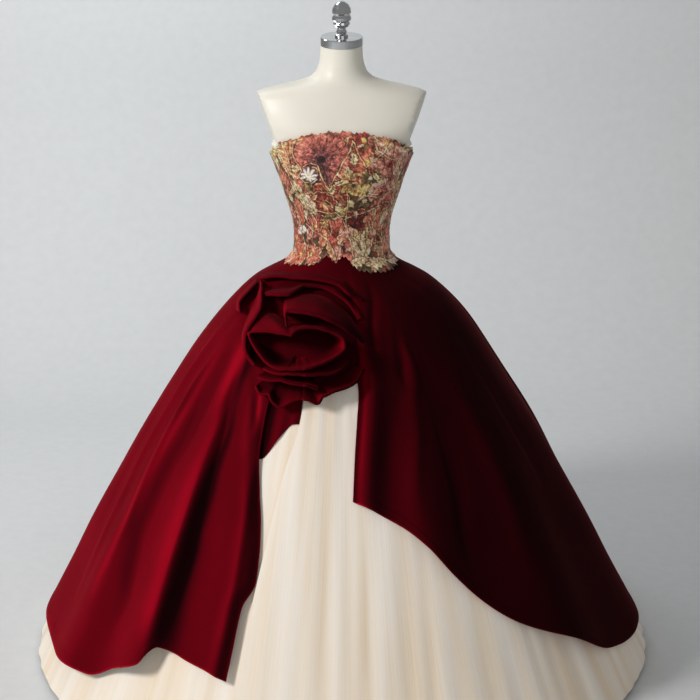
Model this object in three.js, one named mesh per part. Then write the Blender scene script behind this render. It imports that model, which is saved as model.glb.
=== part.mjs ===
// A strapless ball gown of velvet over tulle, with a brocade bodice and a folded rosette,
// on a limbless dress form. Millimetres, +Z up. The front faces -Y, and +X is the wearer's left.
// The origin is the centre of the stand's underside, on the floor.
import * as THREE from "three";

const DEG = Math.PI / 180;

// Cloth walls, and the gap that is left between pieces.
const SEAM_GAP = 0.3;
const TULLE = 1.5;
const VELVET = 2;
const BROCADE = 2;

// The waist seam, and the oval that the skirts are gathered onto.
const WAIST_Z = 1003;
const WAIST_HALF_WIDTH = 103.4;
const WAIST_HALF_DEPTH = 82.5;
const OVAL_ENDS_Z = 840;
const HEM_Z = 8;

// The tulle skirt's inner face at the side seam, from the waist to the floor.
const SKIRT_PROFILE = [
  { z: 1006, radius: 103.4 },
  { z: 985, radius: 104.6 },
  { z: 970, radius: 113 },
  { z: 955, radius: 129 },
  { z: 940, radius: 151 },
  { z: 920, radius: 186 },
  { z: 905, radius: 209 },
  { z: 860, radius: 255 },
  { z: 800, radius: 304 },
  { z: 730, radius: 352 },
  { z: 650, radius: 401 },
  { z: 550, radius: 461 },
  { z: 430, radius: 525 },
  { z: 300, radius: 594 },
  { z: 200, radius: 642 },
  { z: 0, radius: 743 },
];
// Rows of the cloth over the dome of the skirt. Every layer has them, so the layers stay parallel.
const DOME_ROWS = [1003, 984, 966, 946, 915, 870, 800];

// The tulle's gathers, and the fold where its front breadth laps over the next one.
const GATHERS = 24;
const GATHER_DEPTH = 7;
const LAP_AZIMUTH = -19.5;
const LAP_UNDER = 5;
const LAP_FADES_OVER = 20;
const LAP_TOP_Z = 870;
const LAP_FULL_Z = 600;
const LAP_LIFT = 14;
const TULLE_BREADTHS = [
  { name: "tulle_front", from: LAP_AZIMUTH, to: 40, columns: 16 },
  { name: "tulle_side_left", from: 40, to: 100, columns: 16 },
  { name: "tulle_back_left", from: 100, to: 160, columns: 16 },
  { name: "tulle_back", from: 160, to: 220, columns: 16 },
  { name: "tulle_back_right", from: 220, to: 280, columns: 16 },
  { name: "tulle_side_right", from: 280, to: 360 + LAP_AZIMUTH, columns: 16 },
];
const TULLE_ROWS_BELOW = 3;

// The velvet's flutes: where each ridge runs at the top and at the hem, how high it stands at the
// hem, how wide it is on each side in degrees, and where it starts.
const FLUTES = [
  { top: -63, hem: -62, height: 34, before: 10, after: 7, startZ: 900 },
  { top: -45, hem: -41, height: 60, before: 9, after: 3.4, startZ: 880 },
  { top: -29, hem: -25, height: 38, before: 5, after: 7, startZ: 860 },
  { top: 7, hem: 5, height: 14, before: 8, after: 6, startZ: 900 },
  { top: 23, hem: 20, height: 24, before: 7, after: 9, startZ: 960 },
  { top: 52, hem: 49, height: 28, before: 11, after: 10, startZ: 900 },
  { top: 82, hem: 83, height: 13, before: 10, after: 9, startZ: 800 },
  { top: 112, hem: 112, height: 30, before: 11, after: 12, startZ: 880 },
  { top: 136, hem: 137, height: 26, before: 12, after: 10, startZ: 940 },
  { top: 162, hem: 161, height: 36, before: 11, after: 11, startZ: 930 },
  { top: 189, hem: 191, height: 30, before: 12, after: 11, startZ: 940 },
  { top: 217, hem: 216, height: 36, before: 11, after: 12, startZ: 920 },
  { top: 244, hem: 243, height: 26, before: 11, after: 10, startZ: 880 },
  { top: 271, hem: 272, height: 12, before: 9, after: 9, startZ: 800 },
];
const FLUTE_FULL_Z = 250;
const VELVET_CLEARS_TULLE = 2;

// The velvet's hem, by azimuth: it drops from the open front to the side and runs level behind.
const HEM_LEFT = [
  { azimuth: 3, z: 540 },
  { azimuth: 9, z: 515 },
  { azimuth: 15, z: 484 },
  { azimuth: 20, z: 441 },
  { azimuth: 25, z: 381 },
  { azimuth: 31.5, z: 315 },
  { azimuth: 38.5, z: 257 },
  { azimuth: 50, z: 186 },
  { azimuth: 62.5, z: 114 },
  { azimuth: 78, z: 78 },
  { azimuth: 180, z: 62 },
];
const HEM_RIGHT = [
  { azimuth: 180, z: 62 },
  { azimuth: 285, z: 75 },
  { azimuth: 307, z: 98 },
  { azimuth: 314, z: 138 },
  { azimuth: 320, z: 162 },
  { azimuth: 321.5, z: 172 },
  { azimuth: 323.5, z: 214 },
  { azimuth: 329, z: 203 },
  { azimuth: 334, z: 195 },
  { azimuth: 340, z: 178 },
];
// The two open front edges of the velvet, by height. They meet in a seam behind the rosette.
const EDGE_LEFT = [
  { z: 540, azimuth: 3 },
  { z: 620, azimuth: 3.9 },
  { z: 697, azimuth: 5.2 },
  { z: 750, azimuth: 6.8 },
  { z: 800, azimuth: 6.5 },
  { z: 870, azimuth: -2 },
  { z: 915, azimuth: -11 },
  { z: 946, azimuth: -20 },
  { z: 1003, azimuth: -20 },
];
const EDGE_RIGHT = [
  { z: 164, azimuth: 340 },
  { z: 270, azimuth: 338.6 },
  { z: 335, azimuth: 339.5 },
  { z: 400, azimuth: 341.5 },
  { z: 510, azimuth: 339.2 },
  { z: 610, azimuth: 336.2 },
  { z: 720, azimuth: 336 },
  { z: 800, azimuth: 340 },
  { z: 1003, azimuth: 340 },
];
const SIDE_SEAM = 76;
const VELVET_ROWS_BELOW = 5;

// The short tail of velvet that hangs below the rosette: its lower edge and its length above it.
const TAIL_EDGE = [
  { azimuth: -27, z: 606 },
  { azimuth: -23.8, z: 610 },
  { azimuth: -19.4, z: 654 },
  { azimuth: -15.8, z: 682 },
  { azimuth: -13.6, z: 684 },
];
// How far the tail sinks into the hollows between the gathers.
const TAIL_SINKS = 2.7;
const TAIL_TOP_Z = 742;
const TAIL_COLUMNS = 8;
const TAIL_ROWS = 4;

// The dress form, as sections: half the width, and the depth in front of and behind the axis.
const FORM_SECTIONS = [
  { z: 1461, width: 47, front: 47, back: 47, square: 2 },
  { z: 1430, width: 49, front: 49, back: 49, square: 2 },
  { z: 1404, width: 57, front: 52, back: 54, square: 2 },
  { z: 1388, width: 74, front: 56, back: 60, square: 2 },
  { z: 1377, width: 108, front: 60, back: 65, square: 2 },
  { z: 1368, width: 150, front: 64, back: 70, square: 2 },
  { z: 1357, width: 187, front: 68, back: 75, square: 2.1 },
  { z: 1343, width: 205, front: 73, back: 80, square: 2.2 },
  { z: 1318, width: 210, front: 82, back: 87, square: 2.3 },
  { z: 1290, width: 202, front: 92, back: 91, square: 2.3 },
  { z: 1262, width: 183, front: 101, back: 93, square: 2.2 },
  { z: 1232, width: 158, front: 111, back: 93, square: 2.2 },
  { z: 1202, width: 144, front: 119, back: 91, square: 2.2 },
  { z: 1172, width: 138, front: 121, back: 88, square: 2.2 },
  { z: 1142, width: 133, front: 113, back: 86, square: 2.15 },
  { z: 1112, width: 124, front: 102, back: 84, square: 2.1 },
  { z: 1082, width: 114.5, front: 92, back: 82, square: 2 },
  { z: 1052, width: 108, front: 85.5, back: 81, square: 2 },
  { z: 1022, width: 105, front: 83, back: 81, square: 2 },
  { z: 1003, width: 102.9, front: 82, back: 82, square: 2 },
  { z: 984, width: 103.2, front: 82.5, back: 82.5, square: 2 },
  { z: 955, width: 114, front: 88, back: 96, square: 2 },
  { z: 915, width: 134, front: 96, back: 112, square: 2.1 },
  { z: 860, width: 150, front: 102, back: 124, square: 2.1 },
  { z: 800, width: 154, front: 102, back: 122, square: 2.1 },
  { z: 740, width: 148, front: 96, back: 108, square: 2 },
  { z: 720, width: 144, front: 93, back: 103, square: 2 },
];
const FORM_COLUMNS = 36;
// The flat plates where the arms would start: half the form's width there, how much it narrows
// downwards, and how far the plates are turned to the front.
const PLATE_TOP_Z = 1357;
const PLATE_LOW_Z = 1240;
const PLATE_HALF_WIDTH = 193;
const PLATE_TAPER = 0.34;
const PLATE_TURN = 0.16;

// The neck cap and its turned finial, which lean forwards with the neck.
const NECK_TILT = 6;
const NECK_Z = 1461;
const CAP_RADIUS = 48.5;
const CAP_HEIGHT = 18;
const FINIAL_PROFILE = [
  { radius: 0, z: 0 },
  { radius: 15, z: 0 },
  { radius: 15, z: 4 },
  { radius: 10.5, z: 7 },
  { radius: 12.5, z: 12 },
  { radius: 9.5, z: 17 },
  { radius: 9.5, z: 20 },
  { radius: 15.5, z: 23 },
  { radius: 19.5, z: 29 },
  { radius: 18, z: 34 },
  { radius: 22, z: 39 },
  { radius: 22, z: 45 },
  { radius: 19, z: 49 },
  { radius: 22, z: 55 },
  { radius: 21, z: 64 },
  { radius: 15, z: 74 },
  { radius: 7, z: 79 },
  { radius: 0, z: 80.5 },
];
const TURNED_SEGMENTS = 20;

// The stand under the form.
const BASE_PROFILE = [
  { radius: 0, z: 0 },
  { radius: 186, z: 0 },
  { radius: 190, z: 4 },
  { radius: 190, z: 8 },
  { radius: 184, z: 12 },
  { radius: 34, z: 14 },
  { radius: 28, z: 30 },
  { radius: 0, z: 30 },
];
const BASE_SEGMENTS = 32;
const POLE_RADIUS = 14;

// The bodice: five boned panels. Its upper edge stands off the form at the sides.
const BODICE_PANELS = [
  { name: "bodice_front", from: -52.5, to: 52.5, columns: 28 },
  { name: "bodice_side_left", from: 52.5, to: 112.5, columns: 10 },
  { name: "bodice_back_left", from: 112.5, to: 180, columns: 10 },
  { name: "bodice_back_right", from: 180, to: 247.5, columns: 10 },
  { name: "bodice_side_right", from: 247.5, to: 307.5, columns: 10 },
];
const BODICE_TOP = [
  { azimuth: 0, z: 1281 },
  { azimuth: 25, z: 1278 },
  { azimuth: 45, z: 1268 },
  { azimuth: 62, z: 1248 },
  { azimuth: 78, z: 1222 },
  { azimuth: 92, z: 1206 },
  { azimuth: 120, z: 1192 },
  { azimuth: 150, z: 1186 },
  { azimuth: 180, z: 1184 },
];
// The lower edge is cut round its motifs, so it runs in uneven lobes.
const BODICE_HEM = [
  { azimuth: -180, z: 962 },
  { azimuth: -160, z: 952 },
  { azimuth: -142, z: 966 },
  { azimuth: -120, z: 953 },
  { azimuth: -100, z: 966 },
  { azimuth: -78, z: 955 },
  { azimuth: -52, z: 962 },
  { azimuth: -33, z: 969 },
  { azimuth: -24, z: 990 },
  { azimuth: -17, z: 987 },
  { azimuth: -9, z: 973 },
  { azimuth: 0, z: 989 },
  { azimuth: 7, z: 988 },
  { azimuth: 16, z: 965 },
  { azimuth: 30, z: 953 },
  { azimuth: 52, z: 950 },
  { azimuth: 78, z: 957 },
  { azimuth: 100, z: 966 },
  { azimuth: 120, z: 953 },
  { azimuth: 142, z: 966 },
  { azimuth: 160, z: 952 },
  { azimuth: 180, z: 962 },
];
const BODICE_EASE = 2.5;
const BODICE_CLEARS_VELVET = 1.7;
const BODICE_STAND_OFF = 11;
const BODICE_ROWS = 10;

// The rosette: where it sits, how far it faces upwards, and its folded petals. Each row of a petal
// gives an angle round the rosette, the radius and height of the rim, and the radius of the root.
// A petal's seat is how far its root's middle stands off the velvet, so that it rests on the ground.
const ROSE_AZIMUTH = -19.7;
const ROSE_Z = 826;
const ROSE_FACES_UP = 17.6;
const ROSE_GROUND = 1.5;
const ROSE_GROUND_GAP = 2.2;
const PETAL_ROWS = 3;
// The round of velvet that the petals are sewn to, trimmed to their outline.
const GROUND_HOLE = 1;
const GROUND_COLUMNS = 24;
const GROUND_ROWS = 5;
const GROUND_OUTLINE = [
  { angle: 0, radius: 138 },
  { angle: 25, radius: 146 },
  { angle: 90, radius: 158 },
  { angle: 140, radius: 140 },
  { angle: 180, radius: 100 },
  { angle: 215, radius: 90 },
  { angle: 240, radius: 88 },
  { angle: 270, radius: 86 },
  { angle: 301, radius: 97 },
  { angle: 319, radius: 108 },
  { angle: 333, radius: 124 },
  { angle: 346, radius: 138 },
  { angle: 360, radius: 138 },
];
const PETALS = [
  {
    name: "rose_heart",
    seat: 5.1,
    closed: true,
    rows: [
      { angle: 0, rim: 101, height: 88, root: 72 },
      { angle: 12, rim: 95, height: 92, root: 84 },
      { angle: 30, rim: 71, height: 98, root: 76 },
      { angle: 54, rim: 51, height: 100, root: 58 },
      { angle: 77, rim: 41, height: 100, root: 49 },
      { angle: 113, rim: 31, height: 100, root: 52 },
      { angle: 130, rim: 42, height: 99, root: 92 },
      { angle: 146, rim: 64, height: 96, root: 116 },
      { angle: 155, rim: 92, height: 90, root: 120 },
      { angle: 162, rim: 107, height: 85, root: 112 },
      { angle: 175, rim: 91, height: 87, root: 74 },
      { angle: 188, rim: 76, height: 90, root: 42 },
      { angle: 221, rim: 57, height: 96, root: 26 },
      { angle: 243, rim: 45, height: 100, root: 20 },
      { angle: 270, rim: 40, height: 102, root: 18 },
      { angle: 300, rim: 44, height: 102, root: 20 },
      { angle: 321, rim: 53, height: 100, root: 26 },
      { angle: 340, rim: 73, height: 95, root: 42 },
      { angle: 350, rim: 85, height: 91, root: 56 },
    ],
  },
  {
    name: "rose_inner_upper",
    seat: 4.5,
    rows: [
      { angle: 2, rim: 136, height: 58, root: 150 },
      { angle: 15, rim: 108, height: 78, root: 136 },
      { angle: 40, rim: 82, height: 88, root: 122 },
      { angle: 72, rim: 72, height: 90, root: 112 },
      { angle: 96, rim: 75, height: 90, root: 110 },
      { angle: 107, rim: 79, height: 88, root: 106 },
      { angle: 114, rim: 46, height: 92, root: 84 },
    ],
  },
  {
    name: "rose_inner_lower",
    seat: 5.2,
    rows: [
      { angle: 208, rim: 84, height: 74, root: 52 },
      { angle: 224, rim: 73, height: 84, root: 42 },
      { angle: 255, rim: 53, height: 92, root: 34 },
      { angle: 275, rim: 52, height: 91, root: 33 },
      { angle: 296, rim: 61, height: 88, root: 36 },
      { angle: 312, rim: 77, height: 84, root: 42 },
      { angle: 334, rim: 104, height: 76, root: 64 },
      { angle: 347, rim: 115, height: 66, root: 82 },
    ],
  },
  {
    name: "rose_middle_upper",
    seat: 5.0,
    rows: [
      { angle: 14, rim: 152, height: 44, root: 157 },
      { angle: 30, rim: 134, height: 56, root: 145 },
      { angle: 48, rim: 118, height: 64, root: 141 },
      { angle: 68, rim: 107, height: 68, root: 139 },
      { angle: 98, rim: 107, height: 68, root: 138 },
      { angle: 112, rim: 120, height: 66, root: 148 },
      { angle: 123, rim: 136, height: 60, root: 154 },
    ],
  },
  {
    name: "rose_middle_lower",
    seat: 5.5,
    rows: [
      { angle: 214, rim: 106, height: 52, root: 72 },
      { angle: 223, rim: 96, height: 60, root: 62 },
      { angle: 242, rim: 74, height: 68, root: 50 },
      { angle: 269, rim: 77, height: 66, root: 50 },
      { angle: 286, rim: 93, height: 58, root: 60 },
      { angle: 299, rim: 100, height: 48, root: 70 },
    ],
  },
  {
    name: "rose_side",
    seat: 1.8,
    rows: [
      { angle: 118, rim: 167, height: 48, root: 174 },
      { angle: 128, rim: 151, height: 60, root: 166 },
      { angle: 138, rim: 122, height: 72, root: 146 },
      { angle: 150, rim: 113, height: 78, root: 136 },
      { angle: 162, rim: 118, height: 80, root: 134 },
      { angle: 178, rim: 110, height: 78, root: 124 },
      { angle: 199, rim: 98, height: 68, root: 104 },
    ],
  },
  {
    name: "rose_outer_upper",
    seat: 2.1,
    rows: [
      { angle: 8, rim: 172, height: 20, root: 184 },
      { angle: 27, rim: 155, height: 26, root: 171 },
      { angle: 48, rim: 150, height: 28, root: 168 },
      { angle: 62, rim: 153, height: 28, root: 170 },
      { angle: 82, rim: 149, height: 27, root: 166 },
      { angle: 100, rim: 151, height: 27, root: 168 },
      { angle: 113, rim: 163, height: 26, root: 180 },
    ],
  },
  {
    name: "rose_outer_lower",
    seat: 7.0,
    rows: [
      { angle: 216, rim: 118, height: 26, root: 86 },
      { angle: 230, rim: 112, height: 30, root: 84 },
      { angle: 246, rim: 119, height: 33, root: 84 },
      { angle: 262, rim: 105, height: 36, root: 78 },
      { angle: 275, rim: 98, height: 36, root: 76 },
      { angle: 282, rim: 109, height: 34, root: 80 },
      { angle: 294, rim: 118, height: 30, root: 86 },
      { angle: 301, rim: 112, height: 34, root: 88 },
      { angle: 319, rim: 125, height: 38, root: 98 },
      { angle: 333, rim: 147, height: 36, root: 114 },
      { angle: 346, rim: 158, height: 30, root: 124 },
    ],
  },
  {
    name: "rose_outer_side",
    seat: 1.4,
    rows: [
      { angle: 122, rim: 174, height: 34, root: 192 },
      { angle: 131, rim: 170, height: 42, root: 190 },
      { angle: 142, rim: 168, height: 46, root: 188 },
      { angle: 150, rim: 150, height: 44, root: 172 },
    ],
  },
];

const brocadeLook = new THREE.MeshStandardMaterial({ color: 0x9a5a4c, roughness: 0.8 });
const velvetLook = new THREE.MeshStandardMaterial({ color: 0x74000f, roughness: 0.9 });
const tulleLook = new THREE.MeshStandardMaterial({ color: 0xeee2d0, roughness: 0.75 });
const formLook = new THREE.MeshStandardMaterial({ color: 0xe9e5d8, roughness: 0.55 });
const chromeLook = new THREE.MeshStandardMaterial({ color: 0xc9cbcd, roughness: 0.12, metalness: 1 });

const gown = new THREE.Group();

// Adds one named piece to the gown.
function addPiece(name, geometry, look) {
  const mesh = new THREE.Mesh(geometry, look);
  mesh.name = name;
  gown.add(mesh);
  return mesh;
}

// A smooth curve through one column of a table. It never overshoots the rows.
function curveThrough(rows, key, value) {
  const sorted = [...rows].sort((a, b) => a[key] - b[key]);
  const at = sorted.map((row) => row[key]);
  const to = sorted.map((row) => row[value]);
  const slopes = at.slice(1).map((x, i) => (to[i + 1] - to[i]) / (x - at[i]));
  const tangents = to.map((_, i) => {
    if (i === 0) return slopes[0];
    if (i === to.length - 1) return slopes[i - 1];
    const product = slopes[i - 1] * slopes[i];
    return product > 0 ? (2 * product) / (slopes[i - 1] + slopes[i]) : 0;
  });
  return (x) => {
    const q = THREE.MathUtils.clamp(x, at[0], at[at.length - 1]);
    const i = Math.max(0, at.findIndex((a) => a >= q) - 1);
    const span = at[i + 1] - at[i];
    const t = (q - at[i]) / span;
    const rise = to[i + 1] - to[i];
    const first = tangents[i] * span;
    const last = tangents[i + 1] * span;
    return to[i] + t * (first + t * (3 * rise - 2 * first - last + t * (first + last - 2 * rise)));
  };
}

// How far q has gone from one value to another, eased at both ends, from 0 to 1.
function eased(q, from, to) {
  const t = THREE.MathUtils.clamp((q - from) / (to - from), 0, 1);
  return t * t * (3 - 2 * t);
}

// The shortest way round from one azimuth to another, in degrees.
function turn(from, to) {
  return ((((to - from + 180) % 360) + 360) % 360) - 180;
}

// The skirt's base surface, and points moved out from it along its normal.
const sideRadius = curveThrough(SKIRT_PROFILE, "z", "radius");

function skirtRadius(azimuth, z) {
  const a = azimuth * DEG;
  const oval = 1 / Math.hypot(Math.sin(a) / WAIST_HALF_WIDTH, Math.cos(a) / WAIST_HALF_DEPTH);
  return sideRadius(z) - (WAIST_HALF_WIDTH - oval) * eased(z, OVAL_ENDS_Z, WAIST_Z);
}

function onCircle(azimuth, radius, z) {
  const a = azimuth * DEG;
  return new THREE.Vector3(radius * Math.sin(a), -radius * Math.cos(a), z);
}

function skirtBase(azimuth, z) {
  return onCircle(azimuth, skirtRadius(azimuth, z), z);
}

function skirtNormal(azimuth, z) {
  const acrossStep = 0.5;
  const downStep = 3;
  const across = skirtBase(azimuth + acrossStep, z).sub(skirtBase(azimuth - acrossStep, z));
  const down = skirtBase(azimuth, z - downStep).sub(skirtBase(azimuth, z + downStep));
  return down.cross(across).normalize();
}

function skirtPoint(azimuth, z, lift) {
  return skirtBase(azimuth, z).addScaledVector(skirtNormal(azimuth, z), lift);
}

// A closed wall between two faces, each a function of s across and t down, from 0 to 1.
function wall(columns, rows, innerFace, outerFace, closed = false) {
  const positions = [];
  const corners = [];
  const across = closed ? columns : columns + 1;
  for (const face of [outerFace, innerFace])
    for (let j = 0; j <= rows; j++)
      for (let i = 0; i < across; i++) positions.push(...face(i / columns, j / rows).toArray());
  const outer = (i, j) => j * across + (i % across);
  const inner = (i, j) => (rows + 1 + j) * across + (i % across);
  const quad = (a, b, c, d) => corners.push(a, b, c, a, c, d);
  for (let j = 0; j < rows; j++)
    for (let i = 0; i < columns; i++) {
      quad(outer(i, j), outer(i, j + 1), outer(i + 1, j + 1), outer(i + 1, j));
      quad(inner(i, j), inner(i + 1, j), inner(i + 1, j + 1), inner(i, j + 1));
    }
  for (let i = 0; i < columns; i++) {
    quad(outer(i, 0), outer(i + 1, 0), inner(i + 1, 0), inner(i, 0));
    quad(outer(i, rows), inner(i, rows), inner(i + 1, rows), outer(i + 1, rows));
  }
  if (!closed)
    for (let j = 0; j < rows; j++) {
      quad(outer(0, j), inner(0, j), inner(0, j + 1), outer(0, j + 1));
      quad(outer(columns, j), outer(columns, j + 1), inner(columns, j + 1), inner(columns, j));
    }
  return new THREE.BufferGeometry()
    .setAttribute("position", new THREE.Float32BufferAttribute(positions, 3))
    .setIndex(corners);
}

// Heights of a cloth's rows: the shared rows over the dome, then even steps to the hem.
function rowHeight(t, rowsBelow, hemZ) {
  const domeSteps = DOME_ROWS.length - 1;
  const row = Math.round(t * (domeSteps + rowsBelow));
  if (row <= domeSteps) return DOME_ROWS[row];
  return THREE.MathUtils.lerp(DOME_ROWS[domeSteps], hemZ, (row - domeSteps) / rowsBelow);
}

// The tulle skirt.
function gatherDepth(z) {
  return GATHER_DEPTH * eased(z, WAIST_Z - 15, 500);
}

// How far the front breadth is lifted off the skirt where it laps over its neighbour.
function lapLift(azimuth, z) {
  const past = turn(LAP_AZIMUTH, azimuth);
  if (past < -SEAM_GAP || past > LAP_FADES_OVER) return 0;
  return LAP_LIFT * eased(z, LAP_TOP_Z, LAP_FULL_Z) * (1 - eased(past, 0, LAP_FADES_OVER));
}

function tulleLift(azimuth, z) {
  return gatherDepth(z) * (0.5 + 0.5 * Math.cos(azimuth * GATHERS * DEG));
}

function tulleBreadth({ name, from, to, columns }) {
  const isFront = name === "tulle_front";
  const isLapped = name === "tulle_side_right";
  const rows = DOME_ROWS.length - 1 + TULLE_ROWS_BELOW;
  const face = (extra) => (s, t) => {
    const z = rowHeight(t, TULLE_ROWS_BELOW, HEM_Z);
    const seam = (SEAM_GAP / 2 / skirtRadius(from, z)) / DEG;
    const under = isLapped ? LAP_UNDER * eased(z, DOME_ROWS[DOME_ROWS.length - 1], LAP_FULL_Z) : 0;
    const azimuth = THREE.MathUtils.lerp(from + seam, to + under - seam, s);
    const lap = isFront ? lapLift(azimuth, z) : 0;
    return skirtPoint(azimuth, z, tulleLift(azimuth, z) + lap + extra);
  };
  addPiece(name, wall(columns, rows, face(0), face(TULLE)), tulleLook);
}

// The velvet overskirt.
function fluteLift(azimuth, z) {
  const down = eased(z, WAIST_Z, FLUTE_FULL_Z);
  return FLUTES.reduce((sum, { top, hem, height, before, after, startZ }) => {
    const away = turn(THREE.MathUtils.lerp(top, hem, down), azimuth);
    const share = away / (away < 0 ? before : after);
    return sum + height * eased(z, startZ, FLUTE_FULL_Z) * Math.exp(-share * share);
  }, 0);
}

function velvetLift(azimuth, z) {
  const tulleFace = gatherDepth(z) + lapLift(azimuth, z) + TULLE;
  const waistGap = 0.4;
  const gap = THREE.MathUtils.lerp(waistGap, VELVET_CLEARS_TULLE, eased(z, WAIST_Z - 20, 930));
  return tulleFace + gap + fluteLift(azimuth, z);
}

function velvetPanel(name, columns, edgeFrom, edgeTo, hem) {
  const rows = DOME_ROWS.length - 1 + VELVET_ROWS_BELOW;
  const face = (extra) => (s, t) => {
    const lowest = hem(THREE.MathUtils.lerp(edgeFrom(0), edgeTo(0), s));
    const z = rowHeight(t, VELVET_ROWS_BELOW, lowest);
    const seam = (SEAM_GAP / 2 / skirtRadius(SIDE_SEAM, z)) / DEG;
    const azimuth = THREE.MathUtils.lerp(edgeFrom(z) + seam, edgeTo(z) - seam, s);
    return skirtPoint(azimuth, z, velvetLift(azimuth, z) + extra);
  };
  addPiece(name, wall(columns, rows, face(0), face(VELVET)), velvetLook);
}

function velvetOverskirt() {
  const hemLeft = curveThrough(HEM_LEFT, "azimuth", "z");
  const hemRight = curveThrough(HEM_RIGHT, "azimuth", "z");
  const edgeLeft = curveThrough(EDGE_LEFT, "z", "azimuth");
  const edgeRight = curveThrough(EDGE_RIGHT, "z", "azimuth");
  velvetPanel("velvet_front_left", 22, edgeLeft, () => SIDE_SEAM, hemLeft);
  velvetPanel("velvet_back_left", 18, () => SIDE_SEAM, () => 180, hemLeft);
  velvetPanel("velvet_back_right", 18, () => 180, () => 360 - SIDE_SEAM, hemRight);
  velvetPanel("velvet_front_right", 24, () => 360 - SIDE_SEAM, edgeRight, hemRight);
}

function tail() {
  const lowEdge = curveThrough(TAIL_EDGE, "azimuth", "z");
  const first = TAIL_EDGE[0].azimuth;
  const last = TAIL_EDGE[TAIL_EDGE.length - 1].azimuth;
  const face = (extra) => (s, t) => {
    const azimuth = THREE.MathUtils.lerp(first, last, s);
    const z = THREE.MathUtils.lerp(TAIL_TOP_Z, lowEdge(azimuth), t);
    const laid = gatherDepth(z) + lapLift(azimuth, z) + TULLE - TAIL_SINKS;
    return skirtPoint(azimuth, z, laid + extra);
  };
  addPiece("velvet_tail", wall(TAIL_COLUMNS, TAIL_ROWS, face(0), face(VELVET / 2)), velvetLook);
}

// The dress form.
const formCurves = Object.fromEntries(
  ["width", "front", "back", "square"].map((column) => [
    column,
    curveThrough(FORM_SECTIONS, "z", column),
  ]),
);

function formPoint(azimuth, z, lift = 0) {
  const a = azimuth * DEG;
  const x = Math.sin(a);
  const y = -Math.cos(a);
  const depth = y < 0 ? formCurves.front(z) : formCurves.back(z);
  const power = formCurves.square(z);
  const reach =
    ((Math.abs(x) / formCurves.width(z)) ** power + (Math.abs(y) / depth) ** power) ** (-1 / power);
  const point = onCircle(azimuth, reach + lift, z);
  if (z > PLATE_LOW_Z) {
    const plate = PLATE_HALF_WIDTH - (PLATE_TOP_Z - z) * PLATE_TAPER + point.y * PLATE_TURN;
    point.x = THREE.MathUtils.clamp(point.x, -plate, plate);
  }
  return point;
}

// A closed loft through rings of points, with flat ends.
function loft(rings) {
  const around = rings[0].length;
  const positions = rings.flat().flatMap((p) => p.toArray());
  const centres = [rings[0], rings[rings.length - 1]].map((ring) =>
    ring.reduce((sum, p) => sum.add(p), new THREE.Vector3()).divideScalar(around),
  );
  centres.forEach((c) => positions.push(...c.toArray()));
  const corners = [];
  const at = (ring, i) => ring * around + (i % around);
  for (let j = 0; j < rings.length - 1; j++)
    for (let i = 0; i < around; i++) {
      corners.push(at(j, i), at(j + 1, i), at(j + 1, i + 1));
      corners.push(at(j, i), at(j + 1, i + 1), at(j, i + 1));
    }
  const topCentre = rings.length * around;
  for (let i = 0; i < around; i++) {
    corners.push(topCentre, at(0, i), at(0, i + 1));
    corners.push(topCentre + 1, at(rings.length - 1, i + 1), at(rings.length - 1, i));
  }
  return new THREE.BufferGeometry()
    .setAttribute("position", new THREE.Float32BufferAttribute(positions, 3))
    .setIndex(corners);
}

function dressForm() {
  const lean = Math.tan(NECK_TILT * DEG);
  const rings = FORM_SECTIONS.map(({ z }, row) =>
    Array.from({ length: FORM_COLUMNS }, (_, i) => {
      const point = formPoint((i * 360) / FORM_COLUMNS, z);
      if (row === 0) point.z += point.y * lean;
      return point;
    }),
  );
  addPiece("form_torso", loft(rings), formLook);
}

// A piece turned on a lathe, standing on z = 0.
function turned(profile, segments) {
  const points = profile.map(({ radius, z }) => new THREE.Vector2(radius, z));
  return new THREE.LatheGeometry(points, segments).rotateX(Math.PI / 2);
}

function neckCap() {
  const chamfer = 1.5;
  const cap = [
    { radius: 0, z: 0 },
    { radius: CAP_RADIUS, z: 0 },
    { radius: CAP_RADIUS, z: CAP_HEIGHT - chamfer },
    { radius: CAP_RADIUS - chamfer, z: CAP_HEIGHT },
    { radius: 0, z: CAP_HEIGHT },
  ];
  const neck = new THREE.Group();
  neck.position.z = NECK_Z + SEAM_GAP;
  neck.rotation.x = NECK_TILT * DEG;
  gown.add(neck);
  neck.add(addPiece("neck_cap", turned(cap, TURNED_SEGMENTS * 2), chromeLook));
  const finial = addPiece("neck_finial", turned(FINIAL_PROFILE, TURNED_SEGMENTS), chromeLook);
  finial.position.z = CAP_HEIGHT + SEAM_GAP;
  neck.add(finial);
}

function stand() {
  addPiece("stand_base", turned(BASE_PROFILE, BASE_SEGMENTS), chromeLook);
  const foot = BASE_PROFILE[BASE_PROFILE.length - 1].z + SEAM_GAP;
  const top = FORM_SECTIONS[FORM_SECTIONS.length - 1].z - SEAM_GAP;
  const pole = new THREE.CylinderGeometry(POLE_RADIUS, POLE_RADIUS, top - foot, TURNED_SEGMENTS);
  const mesh = addPiece("stand_pole", pole.rotateX(Math.PI / 2), chromeLook);
  mesh.position.z = (top + foot) / 2;
}

// The bodice lies on the form above the waist and on the velvet below it.
function bodicePoint(azimuth, z, topZ, extra) {
  const side = Math.abs(Math.sin(azimuth * DEG)) ** 2;
  const standOff = BODICE_STAND_OFF * side * eased(z, topZ - 75, topZ);
  const onForm = formPoint(azimuth, Math.max(z, WAIST_Z), BODICE_EASE + standOff + extra);
  onForm.z = z;
  const lift = velvetLift(azimuth, z) + VELVET + BODICE_CLEARS_VELVET + extra;
  const over = skirtPoint(azimuth, Math.min(z, WAIST_Z), lift);
  over.z += Math.max(0, z - WAIST_Z);
  return over.lerp(onForm, eased(z, WAIST_Z + 6, WAIST_Z + 45));
}

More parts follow.
